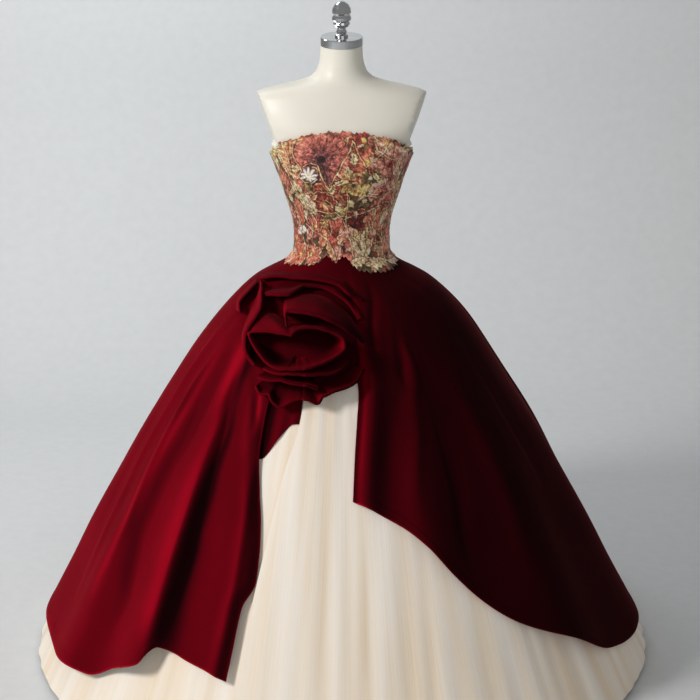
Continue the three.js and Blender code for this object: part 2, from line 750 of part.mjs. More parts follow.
function bodicePanel({ name, from, to, columns }) {
  const topEdge = curveThrough(BODICE_TOP, "azimuth", "z");
  const lowEdge = curveThrough(BODICE_HEM, "azimuth", "z");
  const face = (extra) => (s, t) => {
    const seam = (SEAM_GAP / 2 / WAIST_HALF_WIDTH) / DEG;
    const azimuth = THREE.MathUtils.lerp(from + seam, to - seam, s);
    const topZ = topEdge(Math.abs(turn(0, azimuth)));
    const z = THREE.MathUtils.lerp(topZ, lowEdge(turn(0, azimuth)), t);
    return bodicePoint(azimuth, z, topZ, extra);
  };
  addPiece(name, wall(columns, BODICE_ROWS, face(0), face(BROCADE)), brocadeLook);
}

// The rosette's own frame: a is to the wearer's left, b up, and h out towards the front.
const roseUp = new THREE.Vector3(0, Math.sin(ROSE_FACES_UP * DEG), Math.cos(ROSE_FACES_UP * DEG));
const roseOut = new THREE.Vector3(0, -Math.cos(ROSE_FACES_UP * DEG), Math.sin(ROSE_FACES_UP * DEG));
const roseCentre = skirtBase(ROSE_AZIMUTH, ROSE_Z);

// The point straight behind (a, b) that stands off the velvet's face by a gap.
function roseSeat(a, b, gap) {
  const start = roseCentre.clone().addScaledVector(roseUp, b);
  start.x += a;
  const outside = (w) => {
    const p = start.clone().addScaledVector(roseOut, w);
    const azimuth = Math.atan2(p.x, -p.y) / DEG;
    const lift = velvetLift(azimuth, p.z) + VELVET + gap;
    const facing = Math.hypot(skirtNormal(azimuth, p.z).x, skirtNormal(azimuth, p.z).y);
    return Math.hypot(p.x, p.y) - skirtRadius(azimuth, p.z) - lift / facing;
  };
  let inner = -260;
  let outer = 200;
  for (let i = 0; i < 24; i++) {
    const middle = (inner + outer) / 2;
    if (outside(middle) > 0) outer = middle;
    else inner = middle;
  }
  return start.addScaledVector(roseOut, outer);
}

function atAngle(angle, radius, gap) {
  return roseSeat(radius * Math.cos(angle * DEG), radius * Math.sin(angle * DEG), gap);
}

function roseGround() {
  const outline = curveThrough(GROUND_OUTLINE, "angle", "radius");
  const face = (gap) => (s, t) => {
    const angle = (1 - s) * 360;
    return atAngle(angle, THREE.MathUtils.lerp(outline(angle), GROUND_HOLE, t), gap);
  };
  const under = face(ROSE_GROUND_GAP);
  const over = face(ROSE_GROUND_GAP + ROSE_GROUND);
  addPiece("rose_ground", wall(GROUND_COLUMNS, GROUND_ROWS, under, over, true), velvetLook);
}

// A petal's middle surface: s goes round it, and t from the rim (0) to the root (1).
function petalSurface(rows, seat, closed) {
  const steps = closed ? rows.length : rows.length - 1;
  return (s, t) => {
    const along = Math.min(s * steps, steps - 1e-9);
    const i = Math.floor(along);
    const here = rows[i];
    const next = rows[(i + 1) % rows.length];
    const share = along - i;
    const angle = here.angle + turn(here.angle, next.angle) * share;
    const mix = (column) => THREE.MathUtils.lerp(here[column], next[column], share);
    const rise = (1 - t) * (Math.PI / 2);
    const leansIn = mix("rim") < mix("root");
    const radiusShare = leansIn ? 1 - Math.cos(rise) : Math.sin(rise);
    const heightShare = leansIn ? Math.sin(rise) : 1 - Math.cos(rise);
    const radius = THREE.MathUtils.lerp(mix("root"), mix("rim"), radiusShare);
    const foot = atAngle(angle, radius, seat);
    return foot.addScaledVector(roseOut, mix("height") * heightShare);
  };
}

function petal({ name, seat, rows, closed = false }) {
  const columns = 2 * (closed ? rows.length : rows.length - 1);
  const surface = petalSurface(rows, seat, closed);
  const near = 0.02;
  const face = (side) => (s, t) => {
    const around = (q) => (closed ? (q + 1) % 1 : THREE.MathUtils.clamp(q, 0, 1));
    const step = near / columns;
    const across = surface(around(s + step), t).sub(surface(around(s - step), t));
    const down = surface(s, Math.min(1, t + near)).sub(surface(s, Math.max(0, t - near)));
    const normal = across.cross(down).normalize();
    return surface(s, t).addScaledVector(normal, (side * VELVET) / 2);
  };
  addPiece(name, wall(columns, PETAL_ROWS, face(1), face(-1), closed), velvetLook);
}

dressForm();
neckCap();
stand();
BODICE_PANELS.forEach(bodicePanel);
TULLE_BREADTHS.forEach(tulleBreadth);
velvetOverskirt();
tail();
roseGround();
PETALS.forEach(petal);

export default gown;
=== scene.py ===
# %% [markdown]
# # A strapless ball gown on a dress form
# The gown has a brocade bodice, an overskirt of wine velvet that opens over ivory tulle, and a
# folded velvet rosette at one hip. Lengths are worked in millimetres, as a dressmaker does, and
# become metres only where a mesh is made. The front of the gown faces -Y and +X is the wearer's left.

# %% The fixed frame
import math

import bpy
import numpy as np
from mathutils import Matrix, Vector


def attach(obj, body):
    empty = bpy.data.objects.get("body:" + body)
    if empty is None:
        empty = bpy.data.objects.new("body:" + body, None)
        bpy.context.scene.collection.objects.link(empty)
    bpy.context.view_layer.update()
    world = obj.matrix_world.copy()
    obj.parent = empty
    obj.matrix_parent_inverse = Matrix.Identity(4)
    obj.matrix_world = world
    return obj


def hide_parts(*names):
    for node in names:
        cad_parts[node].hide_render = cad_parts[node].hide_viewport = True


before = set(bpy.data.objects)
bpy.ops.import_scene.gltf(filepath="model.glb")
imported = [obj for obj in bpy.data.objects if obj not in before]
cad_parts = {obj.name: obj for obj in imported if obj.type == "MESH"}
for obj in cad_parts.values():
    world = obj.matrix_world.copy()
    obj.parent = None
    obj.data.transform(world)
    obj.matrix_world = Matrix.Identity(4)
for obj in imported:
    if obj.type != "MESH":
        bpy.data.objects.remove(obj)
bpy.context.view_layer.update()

# %% [markdown]
# ## Camera, light and floor
# The photograph looks down on the gown by about 18 degrees from some four metres away, through a
# long lens. That flattens the skirt only a little, so the lens and the distance are both kept.

# %% The camera
CAMERA_PLACE = (0.0191, -4.2, 2.0703)
CAMERA_DOWN = 17.589
CAMERA_LENS = 95.6
SENSOR_WIDTH = 36


def add_object(name, data):
    """Puts a camera, a light or a mesh into the scene."""
    made = bpy.data.objects.new(name, data)
    bpy.context.scene.collection.objects.link(made)
    return made


camera_data = bpy.data.cameras.new("camera")
camera_data.lens = CAMERA_LENS
camera_data.sensor_width = SENSOR_WIDTH
camera = add_object("camera", camera_data)
camera.location = CAMERA_PLACE
camera.rotation_euler = (math.radians(90 - CAMERA_DOWN), 0, 0)
bpy.context.scene.camera = camera
print("camera:", CAMERA_PLACE, "lens", CAMERA_LENS)


# %% [markdown]
# One large soft light stands high on the photograph's left. It models the folds: whatever turns
# to the right falls away into shadow. A weak, wide light above the camera and a dim surround keep
# those shadows from closing up. A cool light behind the gown brightens the paper, most of all to
# the left of the bodice.


# %% The studio lights
def soft_light(name, place, aim, width, power, colour=(1, 1, 1)):
    data = bpy.data.lights.new(name, "AREA")
    data.shape = "DISK"
    data.size = width
    data.energy = power
    data.color = colour
    light = add_object(name, data)
    light.location = place
    light.rotation_euler = (Vector(aim) - Vector(place)).to_track_quat("-Z", "Y").to_euler()


SKIRT_MIDDLE = (0, 0, 0.7)
soft_light("key_light", (-3.3, -2.7, 3.1), SKIRT_MIDDLE, 1.2, 138, (1, 0.985, 0.965))
soft_light("front_fill", (0.5, -5.4, 2.4), SKIRT_MIDDLE, 2.4, 30)
soft_light("backdrop_light", (-0.9, 0.7, 2.6), (-0.6, 2.5, 0.8), 1.0, 21, (0.93, 0.97, 1))

world = bpy.data.worlds.new("studio")
world.use_nodes = True
surround = world.node_tree.nodes["Background"].inputs
surround["Color"].default_value = (1.0, 0.99, 0.975, 1)
surround["Strength"].default_value = 0.26
bpy.context.scene.world = world
bpy.context.scene.view_settings.view_transform = "Standard"


# %% [markdown]
# ## Materials
# Every finish is a small tree of nodes. One function adds a node, sets it and links it, and one
# function turns hex colours into the linear values that light needs.


# %% Helpers for materials
def linear(hex_colour):
    """The linear colour of an sRGB hex value such as "#8a0018"."""
    levels = [int(hex_colour[i : i + 2], 16) / 255 for i in (1, 3, 5)]
    return [v / 12.92 if v <= 0.04045 else ((v + 0.055) / 1.055) ** 2.4 for v in levels] + [1.0]


def node(tree, kind, settings=None, **links):
    """Adds a node. A setting is a property or an input's value, and a link is an input's source."""
    made = tree.nodes.new(kind)
    for key, value in (settings or {}).items():
        if isinstance(key, str) and hasattr(made, key):
            setattr(made, key, value)
        else:
            made.inputs[key].default_value = value
    for key, source in links.items():
        socket = made.inputs[int(key[1:])] if key[0] == "i" and key[1:].isdigit() else made.inputs[key]
        tree.links.new(source, socket)
    return made


def new_material(name, **surface):
    """A material with one Principled shader, whose plain values are given by socket name."""
    material = bpy.data.materials.new(name)
    material.use_nodes = True
    shader = material.node_tree.nodes["Principled BSDF"]
    for key, value in surface.items():
        shader.inputs[key.replace("_", " ")].default_value = value
    return material, material.node_tree, shader


def ramp(tree, source, stops):
    """The colour of a ramp through (place, hex colour) stops."""
    made = node(tree, "ShaderNodeValToRGB", i0=source)
    band = made.color_ramp
    while len(band.elements) < len(stops):
        band.elements.new(0.5)
    for element, (place, colour) in zip(band.elements, stops):
        element.position = place
        element.color = linear(colour)
    return made.outputs["Color"]


def noise(tree, where, scale, detail, roughness=0.5):
    settings = {"Scale": scale, "Detail": detail, "Roughness": roughness}
    return node(tree, "ShaderNodeTexNoise", settings, Vector=where).outputs["Fac"]


def stretched(tree, where, scale, turned=(0.0, 0.0, 0.0)):
    """Coordinates multiplied by a scale for each axis, so a high one packs a noise close."""
    return node(tree, "ShaderNodeMapping", {"Scale": scale, "Rotation": turned}, Vector=where).outputs[0]


def add_share(tree, value, share, rest):
    """A share of one value on top of the rest."""
    return node(tree, "ShaderNodeMath", {"operation": "MULTIPLY_ADD", 1: share}, i0=value, i2=rest).outputs[0]


def stored(tree, name, kind="Fac"):
    """What the cloth's own points carry under a name."""
    return node(tree, "ShaderNodeAttribute", {"attribute_name": name}).outputs[kind]


def coordinates(tree, kind="Object"):
    return node(tree, "ShaderNodeTexCoord").outputs[kind]


def colour_and_relief(tree, shader, colour, height, strength, distance):
    """Links a colour, and a bump as deep as a distance in metres."""
    tree.links.new(colour, shader.inputs["Base Color"])
    bump = node(tree, "ShaderNodeBump", {"Strength": strength, "Distance": distance}, Height=height)
    tree.links.new(bump.outputs["Normal"], shader.inputs["Normal"])


# %% [markdown]
# **Silk velvet.** A short upright pile swallows light that meets it head on and scatters light
# that grazes it, so a velvet fold is dark where it faces the eye and glows along its turned edges.
# A sheen layer does that. Finger marks and the lie of the pile change the colour in soft patches.

# %% Velvet
velvet, tree, shader = new_material(
    "wine_silk_velvet",
    Roughness=0.9,
    Specular_IOR_Level=0.04,
    Sheen_Weight=0.10,
    Sheen_Roughness=0.34,
    Sheen_Tint=linear("#ff2438"),
)
place = coordinates(tree)
# The pile lies in patches some 140 mm across; the pile's own grain is finer than a pixel and is
# drawn at 1.2 mm so that it shows.
lie = noise(tree, place, 7.0, 3.0)
grain = noise(tree, place, 800.0, 2.0, 0.7)
mottled = add_share(tree, grain, 0.5, lie)
# Painted light and shade: slopes facing the wearer's right, where the key light is, are painted lighter.
facing = node(tree, "ShaderNodeSeparateXYZ", Vector=node(tree, "ShaderNodeNewGeometry").outputs["Normal"])
side_lighting_range = {"From Min": -1.0, "From Max": 0.7, "To Min": 0.79, "To Max": 0.0}
side_lighting = node(tree, "ShaderNodeMapRange", side_lighting_range, Value=facing.outputs["X"])
mixed = add_share(tree, mottled, 0.13, side_lighting.outputs["Result"])
# Painted light and shade stored on the cloth: lighter on crests and edges, darker in valleys and slots.
shade = add_share(tree, stored(tree, "painted_shading"), 1.0, mixed)
depth = [(0.06, "#160002"), (0.3, "#2c0005"), (0.55, "#4b000a"), (0.72, "#61000d"), (1.0, "#93031a")]
colour_and_relief(tree, shader, ramp(tree, shade, depth), grain, 0.16, 0.0006)
print("velvet:", len(tree.nodes), "nodes")

# %% [markdown]
# ** Ivory tulle.** Many layers of fine net, each nearly clear, pile up to a soft ivory. Where the
# folds sink, the colour is painted darker and warmer, for the extra net seen there and as painted shade
# in the folds. Threads pull into fine streaks that run down the skirt, which a noise stretched along the
# cloth's own length gives.

# %% Tulle
tulle, tree, shader = new_material(
    "layered_ivory_tulle",
    Roughness=0.9,
    Specular_IOR_Level=0.15,
    Sheen_Weight=0.12,
    Sheen_Roughness=0.5,
    Subsurface_Weight=0.12,
    Subsurface_Radius=(0.02, 0.014, 0.009),
    Subsurface_Scale=0.3,
)
cloth_uv = coordinates(tree, "UV")
# Streaks about 6 mm apart and 400 mm long, over soft bands about 60 mm apart.
streaks = noise(tree, stretched(tree, cloth_uv, (160.0, 2.4, 1.0)), 1.0, 3.0, 0.65)
bands = noise(tree, stretched(tree, cloth_uv, (17.0, 0.9, 1.0)), 1.0, 2.0)
# Painted shade: where a fold sinks, the net is painted darker and warmer.
sunk = add_share(tree, stored(tree, "fold"), 0.45, bands)
layers = add_share(tree, streaks, 0.22, sunk)
ivory = ramp(tree, layers, [(0.36, "#fbf3e9"), (0.6, "#f9eddf"), (0.82, "#f4e2cc"), (1.0, "#ead2b4")])
colour_and_relief(tree, shader, ivory, streaks, 0.25, 0.002)
print("tulle:", len(tree.nodes), "nodes")

# %% [markdown]
# **Floral brocade.** The flowers are woven in coloured silks and outlined with laid cord. Their
# colours are painted on the cloth itself, and the weave on top of them is a fine diagonal rib.

# %% Brocade
brocade, tree, shader = new_material(
    "corded_floral_brocade",
    Roughness=0.68,
    Specular_IOR_Level=0.32,
    Sheen_Weight=0.15,
    Sheen_Roughness=0.4,
)
place = coordinates(tree)
# Silk floats are about 0.3 mm wide and are drawn at 1.1 mm so that they show.
threads = noise(tree, stretched(tree, place, (900.0, 900.0, 330.0), (0.0, 0.5, 0.0)), 1.0, 2.0, 0.7)
mottle = noise(tree, place, 140.0, 3.0, 0.65)
weave = add_share(tree, threads, 0.6, mottle)
light_and_dark = ramp(tree, weave, [(0.5, "#5d5048"), (0.78, "#d8cfc4"), (1.0, "#ffffff")])
shaded = {"data_type": "RGBA", "blend_type": "MULTIPLY", 0: 0.75}
silk = node(tree, "ShaderNodeMix", shaded, i6=stored(tree, "silk", "Color"), i7=light_and_dark)
colour_and_relief(tree, shader, silk.outputs[2], weave, 0.55, 0.0012)
print("brocade:", len(tree.nodes), "nodes")

# %% [markdown]
# **The form's shell** is moulded and lacquered an eggshell cream: smooth, with a soft wide gloss
# and the faintest orange peel. **The neck cap, finial and stand** are chromed steel, which shows
# the room; a trace of fine polishing marks keeps it from looking like a mirror.

# %% Lacquer and chrome
shell_look, tree, shader = new_material(
    "cream_lacquered_shell",
    Roughness=0.46,
    Specular_IOR_Level=0.42,
    Coat_Weight=0.12,
    Coat_Roughness=0.3,
)
place = coordinates(tree)
# Orange peel is a few millimetres across.
peel = noise(tree, place, 260.0, 2.0)
cream = ramp(tree, noise(tree, place, 6.0, 3.0), [(0.3, "#e6e1d4"), (0.7, "#eeeadd")])
colour_and_relief(tree, shader, cream, peel, 0.05, 0.0004)

chrome_look, tree, shader = new_material("polished_chrome", Metallic=1.0, Roughness=0.12)
# Polishing marks run round the turned pieces, about 1 mm apart.
marks = noise(tree, stretched(tree, coordinates(tree), (40.0, 40.0, 1000.0)), 1.0, 2.0)
steel = ramp(tree, marks, [(0.3, "#bfc2c4"), (0.7, "#d9dbdd")])
tree.links.new(steel, shader.inputs["Base Color"])
dulled = node(tree, "ShaderNodeMapRange", {"To Min": 0.08, "To Max": 0.2}, Value=marks)
tree.links.new(dulled.outputs["Result"], shader.inputs["Roughness"])
print("shell and chrome made")

# %% [markdown]
# **The floor** is a roll of matt studio paper that sweeps up behind the gown, so that no corner
# shows.

# %% Floor and backdrop
paper, tree, shader = new_material("studio_paper", Roughness=0.95, Specular_IOR_Level=0.1)
pale = ramp(tree, noise(tree, coordinates(tree), 30.0, 4.0), [(0.3, "#dcdedf"), (0.7, "#e0e2e3")])
tree.links.new(pale, shader.inputs["Base Color"])

BACKDROP_Y = 2.6
BACKDROP_TOP = 7.0
SWEEP, SWEEP_STEPS = 1.0, 12
# The floor runs on to both sides, but the paper that hangs is narrow, so one can look past it.
FLOOR_HALF, HANGING_HALF = 9.0, 1.8
profile = [(-FLOOR_HALF, 0.0)]
for step in range(SWEEP_STEPS + 1):
    a = math.pi / 2 * step / SWEEP_STEPS
    profile.append((BACKDROP_Y - SWEEP + SWEEP * math.sin(a), SWEEP - SWEEP * math.cos(a)))
profile.append((BACKDROP_Y, BACKDROP_TOP))
corners = [(side * (FLOOR_HALF if z == 0 else HANGING_HALF), y, z) for y, z in profile for side in (-1, 1)]
faces = [(2 * i, 2 * i + 1, 2 * i + 3, 2 * i + 2) for i in range(len(profile) - 1)]
backdrop_mesh = bpy.data.meshes.new("backdrop")
backdrop_mesh.from_pydata(corners, [], faces)
backdrop_mesh.shade_smooth()
backdrop_mesh.materials.append(paper)
backdrop = add_object("backdrop", backdrop_mesh)
print("backdrop at", BACKDROP_Y, "m")

# %% [markdown]
# ## Cloth as sheets
# A skirt panel is a sheet whose points lie on the skirt's base form and are lifted off it by the
# folds. Working from formulas keeps the layers parallel: the velvet is always placed from the
# tulle below it, so they never cut through each other. A simulation would drape them too, but the
# folds would not fall where the photograph has them.


# %% Curves and easing
def eased(q, start, end):
    """How far q has gone from start to end, eased at both ends, from 0 to 1."""
    t = np.clip((np.asarray(q, float) - start) / (end - start), 0, 1)
    return t * t * (3 - 2 * t)


def bell(x, middle, width):
    """A soft bump that is 1 at its middle and about a third at its width to each side."""
    return np.exp(-(((x - middle) / width) ** 2))


def lopsided_bell(away, before, after):
    """A soft bump at 0 with a width of its own to each side."""
    return bell(away, 0, np.where(away < 0, before, after))


def curve_through(rows):
    """A smooth curve through (x, y) rows that never overshoots them."""
    at, to = (np.array(column, float) for column in zip(*sorted(rows)))
    slope = np.diff(to) / np.diff(at)
    same_way = slope[:-1] * slope[1:] > 0
    both = np.where(same_way, slope[:-1] + slope[1:], 1)
    middle = np.where(same_way, 2 * slope[:-1] * slope[1:] / both, 0)
    tangent = np.concatenate([slope[:1], middle, slope[-1:]])

    def value(x):
        x = np.clip(np.asarray(x, float), at[0], at[-1])
        i = np.clip(np.searchsorted(at, x, side="right") - 1, 0, len(at) - 2)
        span = at[i + 1] - at[i]
        t = (x - at[i]) / span
        rise = to[i + 1] - to[i]
        first, last = tangent[i] * span, tangent[i + 1] * span
        return to[i] + t * (first + t * (3 * rise - 2 * first - last + t * (first + last - 2 * rise)))

    return value


def turn(start, end):
    """The shortest way round from one azimuth to another, in degrees."""
    return (end - start + 180) % 360 - 180


def unit(vectors):
    return vectors / np.linalg.norm(vectors, axis=-1, keepdims=True)


# %% The skirt's base form
WAIST_Z = 1003.0
WAIST_HALF_WIDTH, WAIST_HALF_DEPTH = 103.4, 82.5
OVAL_ENDS_Z = 840.0
HEM_Z = 8.0
SIDE_HOLLOW = 8.0
# Each panel stops this far short of its seam.
SEAM_GAP = 0.15
# Height and radius of the underskirt at the side.
side_radius = curve_through(
    [(1006, 103.4), (985, 104.6), (970, 113), (955, 129), (940, 151), (920, 186), (905, 209), (860, 255)]
    + [(800, 304), (730, 352), (650, 401), (550, 461), (430, 525), (300, 594), (200, 642), (0, 743)]
)


def on_circle(azimuth, radius, z):
    a = np.radians(azimuth)
    return np.stack(np.broadcast_arrays(radius * np.sin(a), -radius * np.cos(a), z), axis=-1)


def skirt_radius(azimuth, z):
    a = np.radians(azimuth)
    oval = 1 / np.hypot(np.sin(a) / WAIST_HALF_WIDTH, np.cos(a) / WAIST_HALF_DEPTH)
    # The sides hang a little closer to the stand than the front does.
    hollow = SIDE_HOLLOW * eased(z, 860, 680) * eased(z, 60, 300)
    left = bell(turn(92, azimuth), 0, 34)
    right = 0.45 * bell(turn(-92, azimuth), 0, 30) * eased(z, 700, 520)
    flattened = (WAIST_HALF_WIDTH - oval) * eased(z, OVAL_ENDS_Z, WAIST_Z)
    return side_radius(z) - flattened - hollow * (left + right)


def seam_angle(radius):
    """Degrees that a panel stops short of its seam."""
    return np.degrees(SEAM_GAP / radius)


def skirt_base(azimuth, z):
    return on_circle(azimuth, skirt_radius(azimuth, z), z)


def skirt_normal(azimuth, z):
    across = skirt_base(azimuth + 0.5, z) - skirt_base(azimuth - 0.5, z)
    down = skirt_base(azimuth, z - 3) - skirt_base(azimuth, z + 3)
    return unit(np.cross(down, across))


def skirt_point(azimuth, z, lift):
    return skirt_base(azimuth, z) + skirt_normal(azimuth, z) * np.asarray(lift)[..., None]


print("waist radius", float(side_radius(WAIST_Z)), "hem radius", float(side_radius(0)))


# %% Making a sheet
def measured(points):
    """The widest row, the longest column and the area of a grid of points, in metres."""
    across = np.linalg.norm(np.diff(points, axis=1), axis=-1)
    down = np.linalg.norm(np.diff(points, axis=0), axis=-1)
    one = np.cross(points[:-1, 1:] - points[:-1, :-1], points[1:, :-1] - points[:-1, :-1])
    two = np.cross(points[1:, :-1] - points[1:, 1:], points[:-1, 1:] - points[1:, 1:])
    area = 0.5 * (np.linalg.norm(one, axis=-1).sum() + np.linalg.norm(two, axis=-1).sum())
    return across.sum(1).max() / 1000, down.sum(0).max() / 1000, area / 1e6


def only(piece):
    """Leaves one object selected and active."""
    bpy.ops.object.select_all(action="DESELECT")
    piece.select_set(True)
    bpy.context.view_layer.objects.active = piece


def grid_faces(rows, columns, closed):
    """The faces between the points of a grid, row by row."""
    last = columns if closed else columns - 1
    row, column = np.meshgrid(np.arange(rows - 1), np.arange(last), indexing="ij")
    here, below, after = row * columns, (row + 1) * columns, (column + 1) % columns
    return np.stack([here + column, below + column, below + after, here + after], axis=-1).reshape(-1, 4)


def add_mesh(name, points, faces, look):
    mesh = bpy.data.meshes.new(name)
    mesh.from_pydata(points.reshape(-1, 3) / 1000, [], faces)
    mesh.materials.append(look)
    return add_object(name, mesh)


def smooth(piece, crease):
    """Shades a piece smooth, but for edges that turn by more than the crease, in degrees."""
    only(piece)
    bpy.ops.object.shade_smooth_by_angle(angle=math.radians(crease))


def make_sheet(name, points, uv, thickness, look, closed=False, crease=50, even=True):
    """A cloth of even thickness behind a grid of points, rows down and columns to the wearer's left."""
    faces = grid_faces(*points.shape[:2], closed)
    piece = add_mesh(name, points, faces.tolist(), look)
    layer = piece.data.uv_layers.new(name="cloth")
    layer.data.foreach_set("uv", uv.reshape(-1, 2)[faces.reshape(-1)].reshape(-1).astype(np.float32))
    only(piece)
    solid = piece.modifiers.new("thickness", "SOLIDIFY")
    solid.thickness = thickness / 1000
    solid.offset = -1
    solid.use_even_offset = even
    bpy.ops.object.modifier_apply(modifier=solid.name)
    smooth(piece, crease)
    return piece


def for_both_faces(piece, values, width=1):
    """One row of values for each point of a sheet. Its two faces have the same points in turn."""
    copies = len(piece.data.vertices) * width // values.size
    return np.tile(values.reshape(-1), copies).astype(np.float32)


def add_attribute(piece, name, values):
    stored_values = piece.data.attributes.new(name, "FLOAT", "POINT")
    stored_values.data.foreach_set("value", for_both_faces(piece, values))


flat_sizes = {}


def declare(piece, points, node_name, cut=None):
    """Puts a sheet in place of its solid, which is hidden, and keeps the size that it was cut to."""
    width, length, area = measured(points)
    width, length = cut or (width, length)
    flat_sizes[piece.name] = (round(width, 3), round(length, 3), round(area, 3))
    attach(piece, "root")
    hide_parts(node_name)
    print(piece.name, "flat", flat_sizes[piece.name], "faces", len(piece.data.polygons))


# %% [markdown]
# ## The tulle underskirt
# Six gored breadths of net are gathered onto the waist. Net has little weight, so it hangs in soft
# shallow folds of uneven width. They are sunk into the breadth rather than raised, because
# the velvet lies on top of it. The front breadth laps over its neighbour in one long slanting edge.

# %% Folds of the tulle
TULLE = 1.5
GATHER_DEPTH = 7.0
LAP_LIFT = 14.0
# The lap's edge by height, and how far its lift carries on past it.
lap_edge = curve_through(
    [(1003, -19.5), (870, -17), (735, -13), (683, -13.3), (580, -15.9), (425, -17.9)]
    + [(300, -19), (221, -19.5), (8, -20.3)]
)
LAP_FADES_OVER = 20.0
# Long soft folds: azimuth at the top and at the hem, how deep they are pinched at the hem in
# millimetres, how wide in degrees, and the height where they start.
TULLE_FOLDS = [
    (-16.5, -17.5, 4, 0.9, 700),
    (-12.5, -13.0, 7, 1.6, 640),
    (-7.0, -8.5, 5, 1.2, 560),
    (-2.6, -3.4, 9, 1.3, 770),
    (2.6, 1.4, 7, 1.1, 770),
    (7.6, 5.0, 13, 1.6, 620),
    (11.0, 9.3, 6, 1.0, 420),
    (16.2, 12.9, 15, 1.7, 560),
    (20.8, 17.2, 12, 1.1, 520),
    (25.0, 22.5, 7, 1.5, 360),
    (31.0, 29.0, 10, 1.8, 420),
    (-23.0, -24.0, 9, 1.2, 700),
    (-26.5, -27.4, 6, 0.9, 690),
    (-31.0, -32.5, 11, 1.6, 420),
    (-36.5, -38.0, 12, 1.5, 400),
    (-44.0, -44.5, 8, 2.1, 300),
]
rng = np.random.default_rng(11)
azimuth = 36.0
while azimuth < 308:
    hem, depth = azimuth + rng.uniform(-1.5, 1.5), rng.uniform(5, 16)
    TULLE_FOLDS.append((azimuth, hem, depth, rng.uniform(0.9, 2.2), rng.uniform(300, 760)))
    azimuth += rng.uniform(3.2, 7.5)
# Net springs back: a fold keeps this share of its depth, and spreads to this much of its width.
KEPT_DEPTH, SPREAD = 0.45, 1.45


def gather_depth(z):
    return GATHER_DEPTH * eased(z, WAIST_Z - 15, 500)


def lap_lift(azimuth, z):
    past = turn(lap_edge(z), azimuth)
    return np.where(past < -0.05, 0, LAP_LIFT * eased(z, 860, 600) * (1 - eased(past, 0, LAP_FADES_OVER)))


def tulle_sinks(azimuth, z):
    """How deep the folds sink, in millimetres. Each fades in from its start and slants to the hem."""
    sinks = np.zeros(np.broadcast(azimuth, z).shape)
    for top, hem, depth, width, start in TULLE_FOLDS:
        away = turn(top + (hem - top) * eased(z, 900, 0), azimuth)
        sinks = sinks + KEPT_DEPTH * depth * eased(z, start, start * 0.3) * bell(away, 0, width * SPREAD)
    # Fine gathers at the waist, which die out downwards.
    fine = 0.5 + 0.5 * np.cos(np.radians(azimuth * 72 + 40 * np.sin(np.radians(azimuth * 5))))
    return sinks + fine * 1.6 * eased(z, 985, 900) * eased(z, 300, 800)


def skirt_uv(azimuth, z, radius, slope):
    """Metres round the cloth at one radius, and down it by its slope for each metre of height."""
    return np.stack([np.radians(azimuth) * radius, (WAIST_Z - z) / 1000 * slope], axis=-1)


print("tulle folds:", len(TULLE_FOLDS))

# %% The six breadths
BREADTHS = [
    ("tulle_front", -19.5, 40.0),
    ("tulle_side_left", 40.0, 100.0),
    ("tulle_back_left", 100.0, 160.0),
    ("tulle_back", 160.0, 220.0),
    ("tulle_back_right", 220.0, 280.0),
    ("tulle_side_right", 280.0, 340.5),
]
TULLE_COLUMNS = 84
TULLE_GRAIN = 0.743, 1.25
# The skirt's dome, above this height, curves more than the rest and has closer rows.
DOME_Z = 800.0
heights = np.concatenate([np.linspace(WAIST_Z, DOME_Z, 26)[:-1], np.linspace(DOME_Z, HEM_Z, 62)])
for name, start, end in BREADTHS:
    s, z = np.meshgrid(np.linspace(0, 1, TULLE_COLUMNS + 1), heights)
    seam = seam_angle(skirt_radius(start, z))
    low, high = start + seam, end - seam
    if name == "tulle_front":
        low = lap_edge(z) + seam
    if name == "tulle_side_right":
        # It runs on under the front breadth's lap.
        high = 360 + lap_edge(z) - seam + 5 * eased(z, DOME_Z, 600)
    around = low + (high - low) * s
    lift, sinks = gather_depth(z) + TULLE, tulle_sinks(around, z)
    if name == "tulle_front":
        lift = lift + lap_lift(around, z)
        sinks = sinks * eased(turn(lap_edge(z), around), 0.2, 2.5)
    points = skirt_point(around, z, lift - sinks)
    piece = make_sheet(name + "_net", points, skirt_uv(around, z, *TULLE_GRAIN), TULLE, tulle, crease=60)
    # How deep each fold sinks, for the painted shade in the folds.
    add_attribute(piece, "fold", sinks / 12)
    declare(piece, points, name)

# %% [markdown]
# ## The velvet overskirt
# Velvet is heavy, so it falls in a few deep flutes with soft valleys between them. The flutes have
# places and heights of their own, one row each. Under them, smaller creases are laid in one by one as
# soft troughs and ridges, along the lines where the cloth is pulled at the waist and the rosette.

# %% Flutes and creases
VELVET = 2.0
FLUTE_FULL_Z = 250.0
# Azimuth at the top and at the hem, height at the hem, width to each side in degrees, and start.
FLUTES = [
    (-60, -59, 30, 9, 7, 900),
    (-43, -38, 50, 9, 2.7, 880),
    (-33, -22.5, 24, 7, 6, 860),
    (7, 5, 14, 8, 6, 900),
    (23, 20, 24, 7, 9, 960),
    (52, 49, 28, 11, 10, 900),
    (82, 83, 13, 10, 9, 800),
    (116, 116, 28, 10, 12, 880),
    (136, 137, 26, 12, 10, 940),
    (162, 161, 36, 11, 11, 930),
    (189, 191, 30, 12, 11, 940),
    (217, 216, 36, 11, 12, 920),
    (244, 243, 26, 11, 10, 880),
    (271, 272, 12, 9, 9, 800),
]
